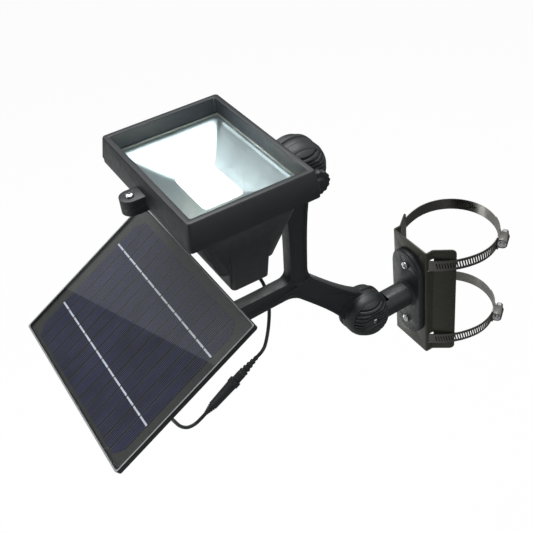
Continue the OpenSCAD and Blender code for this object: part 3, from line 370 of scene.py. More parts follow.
@dataclass(frozen=True)
class CellStrip(Finish):
    """Dark silicon with a bare margin round each strip, fine fingers along it and a patchy blue tone."""

    cool: str = "171a35"
    finger: str = "7a788e"
    bare: str = "3a3934"
    field_w: float = FIELD_W
    strips: int = STRIPS
    fingers: int = 6
    margin: float = 0.85 * MM
    margin_fade: float = 0.2 * MM
    finger_sides: Stop = (0.22, 0.46)
    finger_depth: float = 0.02 * MM
    patch_size: float = 12 * MM
    wear_size: float = 30 * MM
    shine: Stop = (0.3, 0.4)

    def make(self) -> bpy.types.Material:
        """Builds the silicon's patches and the printed fingers over them.

        Returns:
            The finished material.
        """
        g = Graph(self.name)
        half = self.field_w / self.strips / 2
        pitch = 2 * (half - self.margin) / self.fingers
        across = g.maths("ADD", g.add("ShaderNodeSeparateXYZ", {0: g.place}).outputs[0], self.field_w / 2)
        inwards = g.maths("PINGPONG", across, half)
        edge = g.spread(inwards, self.margin, self.margin + self.margin_fade, 1.0, 0.0)
        wave = g.maths("PINGPONG", g.maths("SUBTRACT", inwards, self.margin), pitch / 2)
        line = g.spread(wave, *(pitch * side for side in self.finger_sides))
        patches = g.spread(g.noise(self.patch_size, 3.0, (0.8, 3.0, 3.0)), 0.38, 0.66)
        base = g.between(patches, tint(self.colour), tint(self.cool))
        faint = g.spread(g.noise(self.wear_size, 2.0), 0.2, 0.8, 0.3, 0.6)
        printed = g.between(g.maths("MULTIPLY", line, faint), base, tint(self.finger))
        colour = g.between(edge, printed, tint(self.bare))
        rough = g.spread(patches, 0.0, 1.0, *self.shine)
        normal = g.bump(line, self.finger_depth, 0.4)
        sockets = {"Base Color": colour, "Roughness": rough, "Normal": normal}
        return g.surface(sockets)


@dataclass(frozen=True)
class GlowingChip(Finish):
    """Phosphor resin of a lit emitter."""

    glow: float = 3.5
    warm: str = "fff6e0"
    spot_size: float = 1.2 * MM

    def make(self) -> bpy.types.Material:
        """Builds the lit resin with a slightly uneven glow."""
        g = Graph(self.name)
        uneven = g.spread(g.noise(self.spot_size, 2.0), 0.3, 0.7)
        light = g.between(uneven, tint(self.warm), tint("ffffff"))
        sockets = {"Base Color": tint(self.colour), "Roughness": 0.5, "Emission Color": light}
        return g.surface({**sockets, "Emission Strength": self.glow})


@dataclass(frozen=True)
class BoardMask(Finish):
    """Circuit board: solder mask with the copper tracks showing under it."""

    track: str = "1d5a34"
    cells_per_m: float = 340.0
    track_edge: Stop = (0.34, 0.38)
    track_depth: float = 0.03 * MM
    smear_size: float = 4 * MM
    shine: Stop = (0.25, 0.4)

    def make(self) -> bpy.types.Material:
        """Builds the mask and the tracks, which follow a cell pattern."""
        g = Graph(self.name)
        lattice = {"Vector": g.place, "Scale": self.cells_per_m}
        cells = g.add("ShaderNodeTexVoronoi", lattice, distance="CHEBYCHEV", feature="F1")
        tracks = g.spread(cells.outputs["Distance"], *self.track_edge)
        colour = g.between(g.maths("MULTIPLY", tracks, 0.6), tint(self.colour), tint(self.track))
        normal = g.bump(tracks, self.track_depth, 0.6)
        rough = g.spread(g.noise(self.smear_size, 2.0), 0.3, 0.7, *self.shine)
        sockets = {"Base Color": colour, "Roughness": rough, "Normal": normal}
        return g.surface(sockets)


class Look(Enum):
    """The finishes, each named as the record names its material slot."""

    bracket_paint = CoatedSheet("bracket_paint", "42423b")
    band_steel = RolledStrip("band_steel", "8b8a86")
    screw_steel = PlatedSteel("screw_steel", "e0e1e2")
    body_plastic = Moulding("body_plastic", "1a1e20")
    friction_rubber = Moulding("friction_rubber", "1c1c1c", pale="262626", shine=(0.75, 0.9), specular=0.3)
    lamp_glass = ClearPane("lamp_glass", "f4f8f8")
    reflector_chrome = MirrorCoat("reflector_chrome", "c6cbce")
    white_board = Moulding("white_board", "d6d6cf", pale="e4e4e0", grain_depth=0.000008)
    led_phosphor = GlowingChip("led_phosphor", "f2dc8a")
    heat_aluminium = PlatedSteel("heat_aluminium", "c2c4c6", cloud="a9abae", shine=(0.3, 0.45))
    cell_wrap = Moulding("cell_wrap", "14406e", pale="1b548c", shine=(0.22, 0.34), grain_depth=0.000005)
    green_board = BoardMask("green_board", "0f3d22")
    backsheet = Moulding("backsheet", "3f3e39", pale="474640", grain=0.0007, grain_depth=0.000004)
    silicon = CellStrip("silicon", "10111c")
    busbar_silver = PlatedSteel("busbar_silver", "f2f2f2", cloud="dcdcde", shine=(0.4, 0.5), metal=0.3)
    panel_glass = ClearPane("panel_glass", "f6f8fa", ior=1.5, haze=0.004)
    cable_jacket = Moulding("cable_jacket", "1a1e20", pale="272c2f", grain=0.0003, shine=(0.36, 0.46))


# The tray's rim band, whose pale colour is a painted highlight: it stands for the light that the rim's thin
# top edge catches
PAINTED_HIGHLIGHT_RIM = Moulding("painted_highlight_rim", "8f9192", pale="a3a5a6", grain_depth=0.000006, shine=(0.25, 0.35))


class Wardrobe:
    """Makes each finish once and puts it on pieces."""

    def __init__(self) -> None:
        """Builds every finish."""
        self.made = {look: look.value.make() for look in Look}

    def of(self, look: Look) -> bpy.types.Material:
        """Returns a finish's material."""
        return self.made[look]

    def dress(self, piece: Piece, look: Look) -> Piece:
        """Gives a piece one finish.

        Args:
            piece: A mesh piece or a CAD node.
            look: The finish.

        Returns:
            The same piece.
        """
        piece.data.materials.clear()
        piece.data.materials.append(self.of(look))
        return piece


# Mesh work


def piece_of(name: str, mesh: bpy.types.Mesh) -> Piece:
    """Puts a mesh into the scene as an object of that name."""
    piece = bpy.data.objects.new(name, mesh)
    bpy.context.scene.collection.objects.link(piece)
    return piece


def mesh_from(bm: bmesh.types.BMesh, name: str, sharp_deg: float = 35.0) -> bpy.types.Mesh:
    """Closes a bmesh into a smooth mesh whose edges past an angle stay sharp.

    Args:
        bm: The bmesh, which is freed.
        name: The mesh's name.
        sharp_deg: Angle above which an edge stays sharp.

    Returns:
        The mesh.
    """
    mesh = bpy.data.meshes.new(name)
    bm.to_mesh(mesh)
    bm.free()
    mesh.shade_smooth()
    mesh.set_sharp_from_angle(angle=math.radians(sharp_deg))
    return mesh


def lathe(name: str, profile: Sequence[Stop], sides: int = 40, ring: bool = False) -> bpy.types.Mesh:
    """Turns a profile round the Z axis into a closed mesh.

    Args:
        name: The mesh's name.
        profile: Radius and height of each point, from the axis at one end to the axis at the other.
        sides: Number of faces round the axis.
        ring: Whether the profile is a loop clear of the axis, which gives a ring.

    Returns:
        The turned mesh, with its faces outwards.
    """
    bm = bmesh.new()
    rings: list[list[bmesh.types.BMVert]] = []
    for radius, height in profile:
        if radius < 1e-7:
            rings.append([bm.verts.new((0, 0, height))])
            continue
        turn = [2 * math.pi * k / sides for k in range(sides)]
        rings.append([bm.verts.new((radius * math.cos(a), radius * math.sin(a), height)) for a in turn])
    for low, high in zip(rings, rings[1:] + (rings[:1] if ring else [])):
        for k in range(sides):
            n = (k + 1) % sides
            corners = [low[k % len(low)], low[n % len(low)], high[n % len(high)], high[k % len(high)]]
            unique = list(dict.fromkeys(corners))
            if len(unique) > 2:
                bm.faces.new(unique)
    bmesh.ops.recalc_face_normals(bm, faces=bm.faces)
    return mesh_from(bm, name)


def carved(piece: Piece, cutters: Sequence[Piece]) -> bpy.types.Mesh:
    """Cuts one object by others, which are removed with it.

    Args:
        piece: A scratch object.
        cutters: Scratch objects that are taken away from it.

    Returns:
        The mesh that is left.
    """
    for cutter in cutters:
        cut = piece.modifiers.new("cut", "BOOLEAN")
        cut.operation = "DIFFERENCE"
        cut.object = cutter
        cut.solver = "EXACT"
        cut.use_self = True
    graph = bpy.context.evaluated_depsgraph_get()
    mesh = bpy.data.meshes.new_from_object(piece.evaluated_get(graph), depsgraph=graph)
    for scratch in (piece, *cutters):
        bpy.data.objects.remove(scratch)
    return mesh


def frame_mesh(name: str, rings: Sequence[Point], corner: float, place: "Lean") -> bpy.types.Mesh:
    """Joins rounded rectangles, one after another and back to the first, into a closed frame.

    Args:
        name: The mesh's name.
        rings: Half width, half length and height of each rectangle.
        corner: Largest radius of the corners.
        place: Where the frame's own middle is.

    Returns:
        The frame, with its faces outwards.
    """
    bm = bmesh.new()
    loops = []
    quarters = list(enumerate(((1, 1), (-1, 1), (-1, -1), (1, -1))))
    turns = [(sx, sy, math.radians(90 * q + 15 * k)) for q, (sx, sy) in quarters for k in range(7)]
    for x, y, z in rings:
        r = min(corner, 0.3 * y)
        spots = [(sx * (x - r) + r * math.cos(a), sy * (y - r) + r * math.sin(a)) for sx, sy, a in turns]
        loops.append([bm.verts.new(place.out(px, py, z)) for px, py in spots])
    for low, high in zip(loops, loops[1:] + loops[:1]):
        for k in range(len(low)):
            n = (k + 1) % len(low)
            bm.faces.new((low[k], low[n], high[n], high[k]))
    bmesh.ops.recalc_face_normals(bm, faces=bm.faces)
    return mesh_from(bm, name, 40.0)


def rounded(bm: bmesh.types.BMesh, edges: Sequence[bmesh.types.BMEdge], width: float) -> None:
    """Rounds some edges of a bmesh, with two faces across each."""
    bmesh.ops.bevel(
        bm, geom=edges, offset=width, offset_type="OFFSET", segments=2,
        profile=0.5, affect="EDGES", clamp_overlap=True,
    )


def softened(node: str, width: float, name: str, cutters: Sequence[Piece] = ()) -> Piece:
    """Copies a CAD node with its sharp edges rounded, as a mould or a press leaves them.

    Args:
        node: The CAD node that the copy stands for.
        width: Width of the rounding, in metres.
        name: The new piece's name.
        cutters: Scratch objects that are cut out of the copy first.

    Returns:
        The new piece, which replaces the node and rides on its body.
    """
    source = bpy.data.objects[node]
    bm = bmesh.new()
    bm.from_mesh(source.data)
    bmesh.ops.remove_doubles(bm, verts=bm.verts, dist=WELD)
    bmesh.ops.dissolve_limit(bm, angle_limit=math.radians(0.6), verts=bm.verts, edges=bm.edges)
    if cutters:
        mesh = carved(piece_of(name + "_blank", mesh_from(bm, name + "_blank")), cutters)
        bm = bmesh.new()
        bm.from_mesh(mesh)
        bmesh.ops.remove_doubles(bm, verts=bm.verts, dist=WELD)
    edges = [e for e in bm.edges if e.is_manifold and e.calc_face_angle(0.0) > math.radians(32)]
    rounded(bm, edges, width)
    piece = piece_of(name, mesh_from(bm, name, 40.0))
    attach(piece, source["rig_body"])
    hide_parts(node)
    return piece


class PatternTree:
    """A Geometry Nodes group with named inputs, which ends in Realize Instances and Set Material."""

    def __init__(self, name: str) -> None:
        """Starts a group with a geometry input and output.

        Args:
            name: The group's name.
        """
        self.group = bpy.data.node_groups.new(name, "GeometryNodeTree")
        self.group.interface.new_socket("Geometry", in_out="INPUT", socket_type="NodeSocketGeometry")
        self.group.interface.new_socket("Geometry", in_out="OUTPUT", socket_type="NodeSocketGeometry")
        self.names: dict[str, str] = {}
        self.start = self.group.nodes.new("NodeGroupInput")
        self.stop = self.group.nodes.new("NodeGroupOutput")

    def input(self, name: str, kind: str = "NodeSocketFloat") -> Socket:
        """Adds a named input and returns its socket inside the group."""
        item = self.group.interface.new_socket(name, in_out="INPUT", socket_type=kind)
        self.names[name] = item.identifier
        return next(s for s in self.start.outputs if s.identifier == item.identifier)

    def add(self, kind: str, inputs: Optional[dict[Any, Any]] = None, **settings: Any) -> bpy.types.Node:
        """Adds a node to this group, as add_node does."""
        return add_node(self.group, kind, inputs, settings)

    def end(self, geometry: Socket, material: bpy.types.Material) -> None:
        """Ends the tree in real geometry with one material.

        Args:
            geometry: What the pattern gives.
            material: The finish of all of it.
        """
        real = self.add("GeometryNodeRealizeInstances", {0: geometry}).outputs[0]
        smooth = self.add("GeometryNodeSetMaterial", {0: real, "Material": material}).outputs[0]
        self.group.links.new(smooth, self.stop.inputs[0])

    def grow(self, name: str, host: bpy.types.Mesh, values: dict[str, Any]) -> Piece:
        """Runs the tree on a host mesh and keeps the result as a plain mesh.

        Args:
            name: The new piece's name.
            host: The mesh that the tree starts from.
            values: Value of each named input.

        Returns:
            The plain piece, at the origin.
        """
        carrier = piece_of(name + "_host", host)
        modifier = carrier.modifiers.new("pattern", "NODES")
        modifier.node_group = self.group
        for key, value in values.items():
            modifier[self.names[key]] = value
        bpy.context.view_layer.update()
        graph = bpy.context.evaluated_depsgraph_get()
        mesh = bpy.data.meshes.new_from_object(carrier.evaluated_get(graph), depsgraph=graph)
        carrier.modifiers.clear()
        bpy.data.objects.remove(carrier)
        mesh.name = name
        mesh.shade_smooth()
        mesh.set_sharp_from_angle(angle=math.radians(35))
        return piece_of(name, mesh)


@dataclass(frozen=True)
class Lean:
    """A place in the frame, turned about the X axis: where a tilting piece has its own origin."""

    origin: Point
    tilt_deg: float = 0.0

    def out(self, x: float, y: float, z: float) -> Vector:
        """Takes a point given here, in metres, to the model's frame."""
        return Vector(self.origin) + Matrix.Rotation(math.radians(self.tilt_deg), 3, "X") @ Vector((x, y, z))

    def matrix(self) -> Matrix:
        """Returns the place as a matrix."""
        return Matrix.Translation(self.origin) @ Matrix.Rotation(math.radians(self.tilt_deg), 4, "X")

    def way(self, x: float, y: float, z: float) -> Vector:
        """Takes a direction given here to the model's frame."""
        return Matrix.Rotation(math.radians(self.tilt_deg), 3, "X") @ Vector((x, y, z))

    def corner_seats(self, x: float, y: float, z: float, way: Vector, shift: float = 0.0) -> list[Seat]:
        """Gives four places at a rectangle's corners, all facing one way."""
        return [(self.out(sx * x, shift + sy * y, z), way) for sx in (-1, 1) for sy in (-1, 1)]

    def then(self, x: float, y: float, z: float) -> "Lean":
        """Returns the same turn with its origin moved to a point given here."""
        return Lean(tuple(self.out(x, y, z)), self.tilt_deg)


def block(size: Point, rounding: float) -> Piece:
    """Builds a small block with rounded edges.

    Args:
        size: Its width, length and height.
        rounding: Width of the rounding.

    Returns:
        A scratch object, which its caller removes.
    """
    bm = bmesh.new()
    for v in bmesh.ops.create_cube(bm, size=1.0)["verts"]:
        v.co = Vector((v.co.x * size[0], v.co.y * size[1], v.co.z * size[2]))
    rounded(bm, list(bm.edges), rounding)
    return piece_of("block_template", mesh_from(bm, "block_template"))


@dataclass(frozen=True)
class Grid:
    """Rows and columns of one small part, lying on a tilted face."""

    pitch: tuple[float, float]
    count: tuple[int, int]
    height: float
    shift_y: float = 0.0

    def lay(
        self, name: str, node: str, part: Piece, face: Lean, wardrobe: Wardrobe, look: Look
    ) -> Piece:
        """Lays the part out with a Geometry Nodes tree, in place of a CAD node.

        Args:
            name: The new piece's name.
            node: The CAD node that the grid stands for.
            part: One part, which is removed afterwards.
            face: The face's own place.
            wardrobe: Where the finish comes from.
            look: The finish.

        Returns:
            The piece, riding on the node's body.
        """
        tree = PatternTree(name + "_grid")
        template = tree.input("Part", "NodeSocketObject")
        width = tree.input("Grid width")
        length = tree.input("Grid length")
        columns = tree.input("Columns", "NodeSocketInt")
        rows = tree.input("Rows", "NodeSocketInt")
        tilt = tree.input("Face tilt")
        centre = tree.input("Centre", "NodeSocketVector")
        lattice = {"Size X": width, "Size Y": length, "Vertices X": columns, "Vertices Y": rows}
        points = tree.add("GeometryNodeMeshGrid", lattice).outputs[0]
        shape = tree.add("GeometryNodeObjectInfo", {"Object": template}).outputs["Geometry"]
        laid = tree.add("GeometryNodeInstanceOnPoints", {"Points": points, "Instance": shape}).outputs[0]
        real = tree.add("GeometryNodeRealizeInstances", {0: laid}).outputs[0]
        turn = tree.add("ShaderNodeCombineXYZ", {0: tilt}).outputs[0]
        move = {"Geometry": real, "Translation": centre, "Rotation": turn}
        tree.end(tree.add("GeometryNodeTransform", move).outputs[0], wardrobe.of(look))
        values = {
            "Part": part,
            "Grid width": self.pitch[0] * (self.count[0] - 1),
            "Grid length": self.pitch[1] * (self.count[1] - 1),
            "Columns": self.count[0],
            "Rows": self.count[1],
            "Face tilt": math.radians(face.tilt_deg),
            "Centre": face.out(0, self.shift_y, self.height),
        }
        piece = tree.grow(name, bpy.data.meshes.new(name + "_start"), values)
        bpy.data.objects.remove(part)
        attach(piece, bpy.data.objects[node]["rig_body"])
        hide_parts(node)
        log.info("%s: %d parts", name, self.count[0] * self.count[1])
        return piece


# Fasteners


@dataclass(frozen=True)
class Screw:
    """One kind of cross-head screw, with its head above z = 0 and its shank below."""

    name: str
    head_r: float
    head_h: float
    shank_r: float
    length: float
    pitch: float = 0.0008
    threaded: float = 0.5

    def profile(self) -> list[Stop]:
        """Gives the turned outline: crowned head, plain neck and cut thread.

        Returns:
            Radius and height of each point, from the tip to the crown.
        """
        groove = 0.28 * self.pitch
        turns = int(self.length * self.threaded / self.pitch)
        line: list[Stop] = [(0.0, -self.length), (self.shank_r - groove, -self.length)]
        for i in range(turns):
            z = -self.length + (i + 0.25) * self.pitch
            line += [(self.shank_r - 0.00003, z), (self.shank_r - groove, z + 0.5 * self.pitch)]
        top = -self.length + turns * self.pitch + 0.4 * self.pitch
        line += [(self.shank_r, top), (self.shank_r, 0.0), (self.head_r * 0.97, 0.0)]
        line += [(self.head_r, 0.06 * self.head_h), (self.head_r, 0.42 * self.head_h)]
        for i in range(1, 7):
            a = math.radians(15 * i)
            radius = self.head_r * math.cos(a * 0.98) ** 0.72 if i < 6 else 0.0
            line.append((radius, self.head_h * (0.42 + 0.58 * math.sin(a))))
        return line

    def template(self) -> Piece:
        """Builds one screw with its recess cut.

        Returns:
            A scratch object, which its caller removes.
        """
        body = piece_of(self.name + "_template", lathe(self.name + "_template", self.profile()))
        bm = bmesh.new()
        length, width, depth = 1.04 * self.head_r, 0.26 * self.head_r, 1.1 * self.head_h
        for turn in (0, 90):
            box = bmesh.ops.create_cube(bm, size=1.0)["verts"]
            for v in box:
                taper = 0.55 if v.co.z < 0 else 1.0
                v.co = Vector((v.co.x * length * taper, v.co.y * width, v.co.z * depth + self.head_h))
            spin = Matrix.Rotation(math.radians(turn), 3, "Z")
            bmesh.ops.rotate(bm, verts=box, cent=(0, 0, 0), matrix=spin)
        cutter = piece_of(self.name + "_recess", mesh_from(bm, self.name + "_recess"))
        return piece_of(self.name + "_cut", carved(body, [cutter]))


class FastenerBox:
    """Sets screws at their places with one Geometry Nodes tree."""

    def __init__(self, wardrobe: Wardrobe) -> None:
        """Builds the tree: an instance at each point, faced along it and turned at random.

        Args:
            wardrobe: Where the zinc finish comes from.
        """
        tree = PatternTree("screws_at_points")
        template = tree.input("Template", "NodeSocketObject")
        size = tree.input("Size")
        seed = tree.input("Turn seed", "NodeSocketInt")
        facing = tree.add("GeometryNodeInputNamedAttribute", {"Name": "facing"}, data_type="FLOAT_VECTOR")
        towards = {"Vector": facing.outputs[0]}
        aligned = tree.add("FunctionNodeAlignRotationToVector", towards, axis="Z").outputs[0]
        turn = tree.add("FunctionNodeRandomValue", {"Seed": seed}, data_type="FLOAT")
        turn.inputs[2].default_value = 0.0
        turn.inputs[3].default_value = math.pi
        about = {"Axis": (0, 0, 1), "Angle": turn.outputs[1]}
        spin = tree.add("FunctionNodeAxisAngleToRotation", about).outputs[0]
        both = {0: aligned, 1: spin}
        turned = tree.add("FunctionNodeRotateRotation", both, rotation_space="LOCAL").outputs[0]
        shape = tree.add("GeometryNodeObjectInfo", {"Object": template}).outputs["Geometry"]
        spots = {"Points": tree.start.outputs[0], "Instance": shape, "Rotation": turned, "Scale": size}
        set_down = tree.add("GeometryNodeInstanceOnPoints", spots)
        tree.end(set_down.outputs[0], wardrobe.of(Look.screw_steel))
        self.tree = tree

    def drive_in(self, name: str, screw: Screw, places: Sequence[Seat], node: str, seed: int) -> Piece:
        """Sets one screw at each place, in place of a CAD node.

        Args:
            name: The new piece's name.
            screw: The kind of screw.
            places: Where each head seats, and which way it faces.
            node: The CAD node that the screws stand for.
            seed: Seed of the turns.

        Returns:
            The piece, riding on the node's body.
        """
        template = screw.template()
        host = bpy.data.meshes.new(name + "_points")
        host.from_pydata([tuple(p) for p, _ in places], [], [])
        facing = host.attributes.new("facing", "FLOAT_VECTOR", "POINT")
        facing.data.foreach_set("vector", [c for _, d in places for c in d.normalized()])
        piece = self.tree.grow(name, host, {"Template": template, "Size": 1.0, "Turn seed": seed})
        bpy.data.objects.remove(template)
        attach(piece, bpy.data.objects[node]["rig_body"])
        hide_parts(node)
        log.info("%s: %d screws", name, len(places))
        return piece


# View


@dataclass(frozen=True)
class Card:
    """A pale card out of view, hung where a flat face mirrors it towards the camera."""

    name: str
    corners: Sequence[Stop]
    gap: float
    glow: float

    def hang(self, face: Lean, eye: Vector) -> None:
        """Hangs the card so that its corners show in the face at given places.

        Args:
            face: The face that mirrors it; the corners are given there.
            eye: Where the camera stands.
        """
        normal = face.way(0, 0, 1)
        spots = []
        for x, y in self.corners:
            spot = face.out(x, y, 0)
            look = (eye - spot).normalized()
            spots.append(spot + self.gap * (2 * normal.dot(look) * normal - look))
        mesh = bpy.data.meshes.new(self.name)
        mesh.from_pydata([tuple(s) for s in spots], [], [(0, 1, 2, 3)])
        card = piece_of(self.name, mesh)
        for rays in ("camera", "diffuse", "transmission", "shadow", "volume_scatter"):
            setattr(card, f"visible_{rays}", False)
        g = Graph(self.name + "_light")
        light = g.add("ShaderNodeEmission", {"Color": (1, 1, 1, 1), "Strength": self.glow})
        mesh.materials.append(g.end(light.outputs[0]))


@dataclass
class Studio:
    """Camera, lamps, pale floor and white surroundings."""

    lens: float = 844.85 / 533 * 36
    place: Point = (0.54497, -0.49040, 0.66987)
    right: Point = (0.52548, 0.84132, -0.12667)
    up: Point = (-0.51417, 0.43265, 0.74057)
    back: Point = (0.67786, -0.32403, 0.65993)
    floor_z: float = -0.62
    aim: Point = (0.0, -0.22, 0.12)
    floor_way: Point = (-0.707, -0.707, 0.0)
    floor_run: Stop = (-0.5, 0.9)
    floor_gloss: Stop = (0.05, 0.6)
    sky_way: Point = (0.25, 0.45, 0.86)
    sky_run: Stop = (0.15, 0.9)
    sky_level: Stop = (0.1, 0.95)
    glow_power: float = 0.6
    panel_card: Card = Card(
        "panel_card", ((-0.14, -0.0412), (0.14, 0.0477), (0.14, 0.14), (-0.14, 0.14)), gap=1.2, glow=0.5
    )
    plate_card: Card = Card(
        "plate_card", ((-0.06, -0.1), (-0.01, -0.1), (-0.01, 0.1), (-0.06, 0.1)), gap=0.12, glow=3.0
    )

    def set_camera(self) -> None:
        """Stands the camera where the photograph was taken from."""
        camera = bpy.data.objects.new("viewpoint", bpy.data.cameras.new("viewpoint"))
        bpy.context.scene.collection.objects.link(camera)
        r, u, b, p = self.right, self.up, self.back, self.place
        camera.matrix_world = Matrix([(r[i], u[i], b[i], p[i]) for i in range(3)] + [(0, 0, 0, 1)])
        camera.data.sensor_width = 36
        camera.data.lens = self.lens
        bpy.context.scene.camera = camera
        bpy.context.scene.view_settings.view_transform = "Standard"

    def add_lamp(self, name: str, place: Point, size: float, power: float) -> None:
        """Adds a soft square lamp that faces the object.

        Args:
            name: The lamp's name.
            place: Where it hangs.
            size: Length of its side.
            power: Its power in watts.
        """
        lamp = bpy.data.objects.new(name, bpy.data.lights.new(name, "AREA"))
        lamp.data.energy, lamp.data.size = power, size
        lamp.location = place
        lamp.rotation_euler = (Vector(self.aim) - Vector(place)).to_track_quat("-Z", "Y").to_euler()
        bpy.context.scene.collection.objects.link(lamp)

    def add_glow(self, place: Vector) -> None:
        """Adds the glare that the lit emitters throw on the walls round the lamp's glass.

        Args:
            place: Middle of the lamp's mouth.
        """
        glow = bpy.data.objects.new("glow", bpy.data.lights.new("glow", "POINT"))
        glow.data.energy, glow.data.shadow_soft_size = self.glow_power, 0.012
        glow.location = place
        glow.visible_glossy = False
        bpy.context.scene.collection.objects.link(glow)

    def white_floor(self) -> None:
        """Lays the floor, which keeps the object's shadow and is white to the eye."""
        bm = bmesh.new()
        bmesh.ops.create_circle(bm, cap_ends=True, radius=9.0, segments=64)
        floor = piece_of("floor", mesh_from(bm, "floor"))
        floor.location = (0, 0, self.floor_z)
        g = Graph("pale_floor")
        rays = g.add("ShaderNodeLightPath")
        seen = g.maths("MAXIMUM", rays.outputs["Is Camera Ray"], rays.outputs["Is Transmission Ray"])
        side = g.spread(g.along(g.place, self.floor_way), *self.floor_run, *self.floor_gloss)
        level = g.maths("MAXIMUM", seen, side)
        cloth = g.add("ShaderNodeBsdfDiffuse", {"Color": (0.86, 0.86, 0.86, 1)})
        light = g.add("ShaderNodeEmission", {"Color": (1, 1, 1, 1), "Strength": level})
        share = g.maths("MULTIPLY", g.maths("MAXIMUM", seen, rays.outputs["Is Glossy Ray"]), 0.93)
        floor.data.materials.append(g.end(g.mixed(share, cloth, light)))

    def surroundings(self) -> None:
        """Makes the world white to the eye, and a soft sky to the object, darker on the camera's side."""
        world = bpy.data.worlds.new("studio")
        bpy.context.scene.world = world
        g = Graph(world)
        rays = g.add("ShaderNodeLightPath")
        seen = g.maths("MAXIMUM", rays.outputs["Is Camera Ray"], rays.outputs["Is Transmission Ray"])
        way = g.add("ShaderNodeTexCoord").outputs["Generated"]
        sky = g.spread(g.along(way, self.sky_way), *self.sky_run, *self.sky_level)
        level = g.maths("MAXIMUM", seen, sky)
        light = g.add("ShaderNodeBackground", {"Color": (1, 1, 1, 1), "Strength": level})
        g.end(light.outputs[0], "ShaderNodeOutputWorld")

    def build(self, panel: Lean, plate: Lean, mouth: Lean) -> None:
        """Sets the camera, the floor, the surroundings, the lamps and the cards.

        Args:
            panel: The panel's face.
            plate: The bracket's front face.
            mouth: The plane of the lamp's mouth.
        """
        self.set_camera()
        self.white_floor()
        self.surroundings()
        self.panel_card.hang(panel, Vector(self.place))
        self.plate_card.hang(plate, Vector(self.place))
        self.add_lamp("overhead", (-0.45, -0.1, 1.5), 1.1, 22.0)
        self.add_lamp("front", (-0.1, -1.9, 0.75), 0.9, 10.0)
        self.add_lamp("side", (1.6, 0.3, 0.5), 1.0, 1.6)
        self.add_glow(mouth.out(0, 0, -6 * MM))


# Cable


@dataclass
class Cabling:
    """The two leads, each one smooth run, and the plug and socket between them."""

    wardrobe: Wardrobe
    lamp_gland: Vector
    lamp_gland_below: Vector
    panel_gland: Vector
    panel_gland_below: Vector
    diameter: float = 3.8 * MM
    sides: int = 16
    steps: int = 36
    lamp_run: Sequence[Point] = (
        (-22, -260, 148), (-26, -240, 124), (-27, -227, 104), (-27, -222, 82), (-25, -223, 60),
        (-20, -230, 40), (-13, -240, 27), (-10, -247.1, 22.5), (-10, -254, 18.6),
    )
    panel_run: Sequence[Point] = (
        (-10, -323, -20.6), (-10, -329.9, -24.5), (-10, -338, -27.6), (-9, -347, -25), (-5, -355, -12),
        (1, -361, 8), (12, -367, 32), (25, -374, 60), (33, -381, 86),
    )

    def smooth(self, points: Sequence[Vector]) -> list[Vector]:
        """Samples one smooth curve through given points.

        Args:
            points: The points, in metres.

        Returns:
            The curve's own points, close together.
        """
        last = len(points) - 1
        line = []
        for k in range(self.steps + 1):
            t = k / self.steps * last
            i = min(int(t), last - 1)
            u = t - i
            b, c = points[i], points[i + 1]
            a = points[i - 1] if i > 0 else 2 * b - c
            d = points[i + 2] if i < last - 1 else 2 * c - b
            square, cube = 2 * a - 5 * b + 4 * c - d, 3 * b - a - 3 * c + d
            line.append(0.5 * (2 * b + (c - a) * u + square * u**2 + cube * u**3))
        return line

    def tube(self, name: str, line: Sequence[Vector]) -> Piece:
        """Sweeps a round jacket along a line, with its ends closed.

        Args:
            name: The piece's name.
            line: The centre line.

        Returns:
            The tube, dressed in the jacket's finish.
        """
        bm = bmesh.new()
        rings = []
        side = Vector((1, 0, 0))
        for k, centre in enumerate(line):
            ahead = (line[min(k + 1, len(line) - 1)] - line[max(k - 1, 0)]).normalized()
            side = (side - ahead * side.dot(ahead)).normalized()
            other = ahead.cross(side)
            turn = [2 * math.pi * n / self.sides for n in range(self.sides)]
            ring = [centre + self.diameter / 2 * (math.cos(a) * side + math.sin(a) * other) for a in turn]
            rings.append([bm.verts.new(p) for p in ring])
        for low, high in zip(rings, rings[1:]):
            for n in range(self.sides):
                m = (n + 1) % self.sides
                bm.faces.new((low[n], low[m], high[m], high[n]))
        bm.faces.new(rings[0])
        bm.faces.new(rings[-1])
        bmesh.ops.recalc_face_normals(bm, faces=bm.faces)
        return self.wardrobe.dress(piece_of(name, mesh_from(bm, name, 60.0)), Look.cable_jacket)

    def lay(self) -> None:
        """Makes both leads in place of the CAD leads."""
        out = [self.lamp_gland, self.lamp_gland_below] + [Vector(p) * MM for p in self.lamp_run]
        back = [Vector(p) * MM for p in self.panel_run] + [self.panel_gland_below, self.panel_gland]
        for name, route, bodies, far_end, joined in (
            ("lamp_cable", out, ("arm", "lamp"), "connector", ["cable_plug", "cable_socket", "lamp_gland"]),
            ("panel_cable", back, ("arm", "panel"), "object", ["panel_gland"]),
        ):
            line = self.smooth(route)
            piece = self.tube(name, line)
            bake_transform(piece)
            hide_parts("lamp_lead" if name == "lamp_cable" else "panel_lead")


# Sub-assemblies


@dataclass
class Assembly:
    """What each sub-assembly shares: the finishes, the fasteners and the frame's nodes."""

    wardrobe: Wardrobe
    fasteners: FastenerBox
    nodes: dict[str, Piece]

    def dress_nodes(self, looks: dict[str, Look]) -> None:
        """Puts a finish on CAD nodes whose shape is right as it is."""
        for node, look in looks.items():
            self.wardrobe.dress(self.nodes[node], look)
            log.info("%s: %s", node, look.name)

    def soften(
        self, node: str, width_mm: float, look: Look, name: str, cutters: Sequence[Piece] = ()
    ) -> Piece:
        """Puts a rounded copy in place of a node and dresses it.

        Args:
            node: The CAD node.
            width_mm: Width of the rounding in millimetres.
            look: The finish.
            name: The new piece's name.
            cutters: Scratch objects that are cut out of the copy first.

        Returns:
            The rounded piece.
        """
        piece = self.wardrobe.dress(softened(node, width_mm * MM, name, cutters=cutters), look)
        log.info("%s: rounded %.2f mm, %d faces", name, width_mm, len(piece.data.polygons))
        return piece


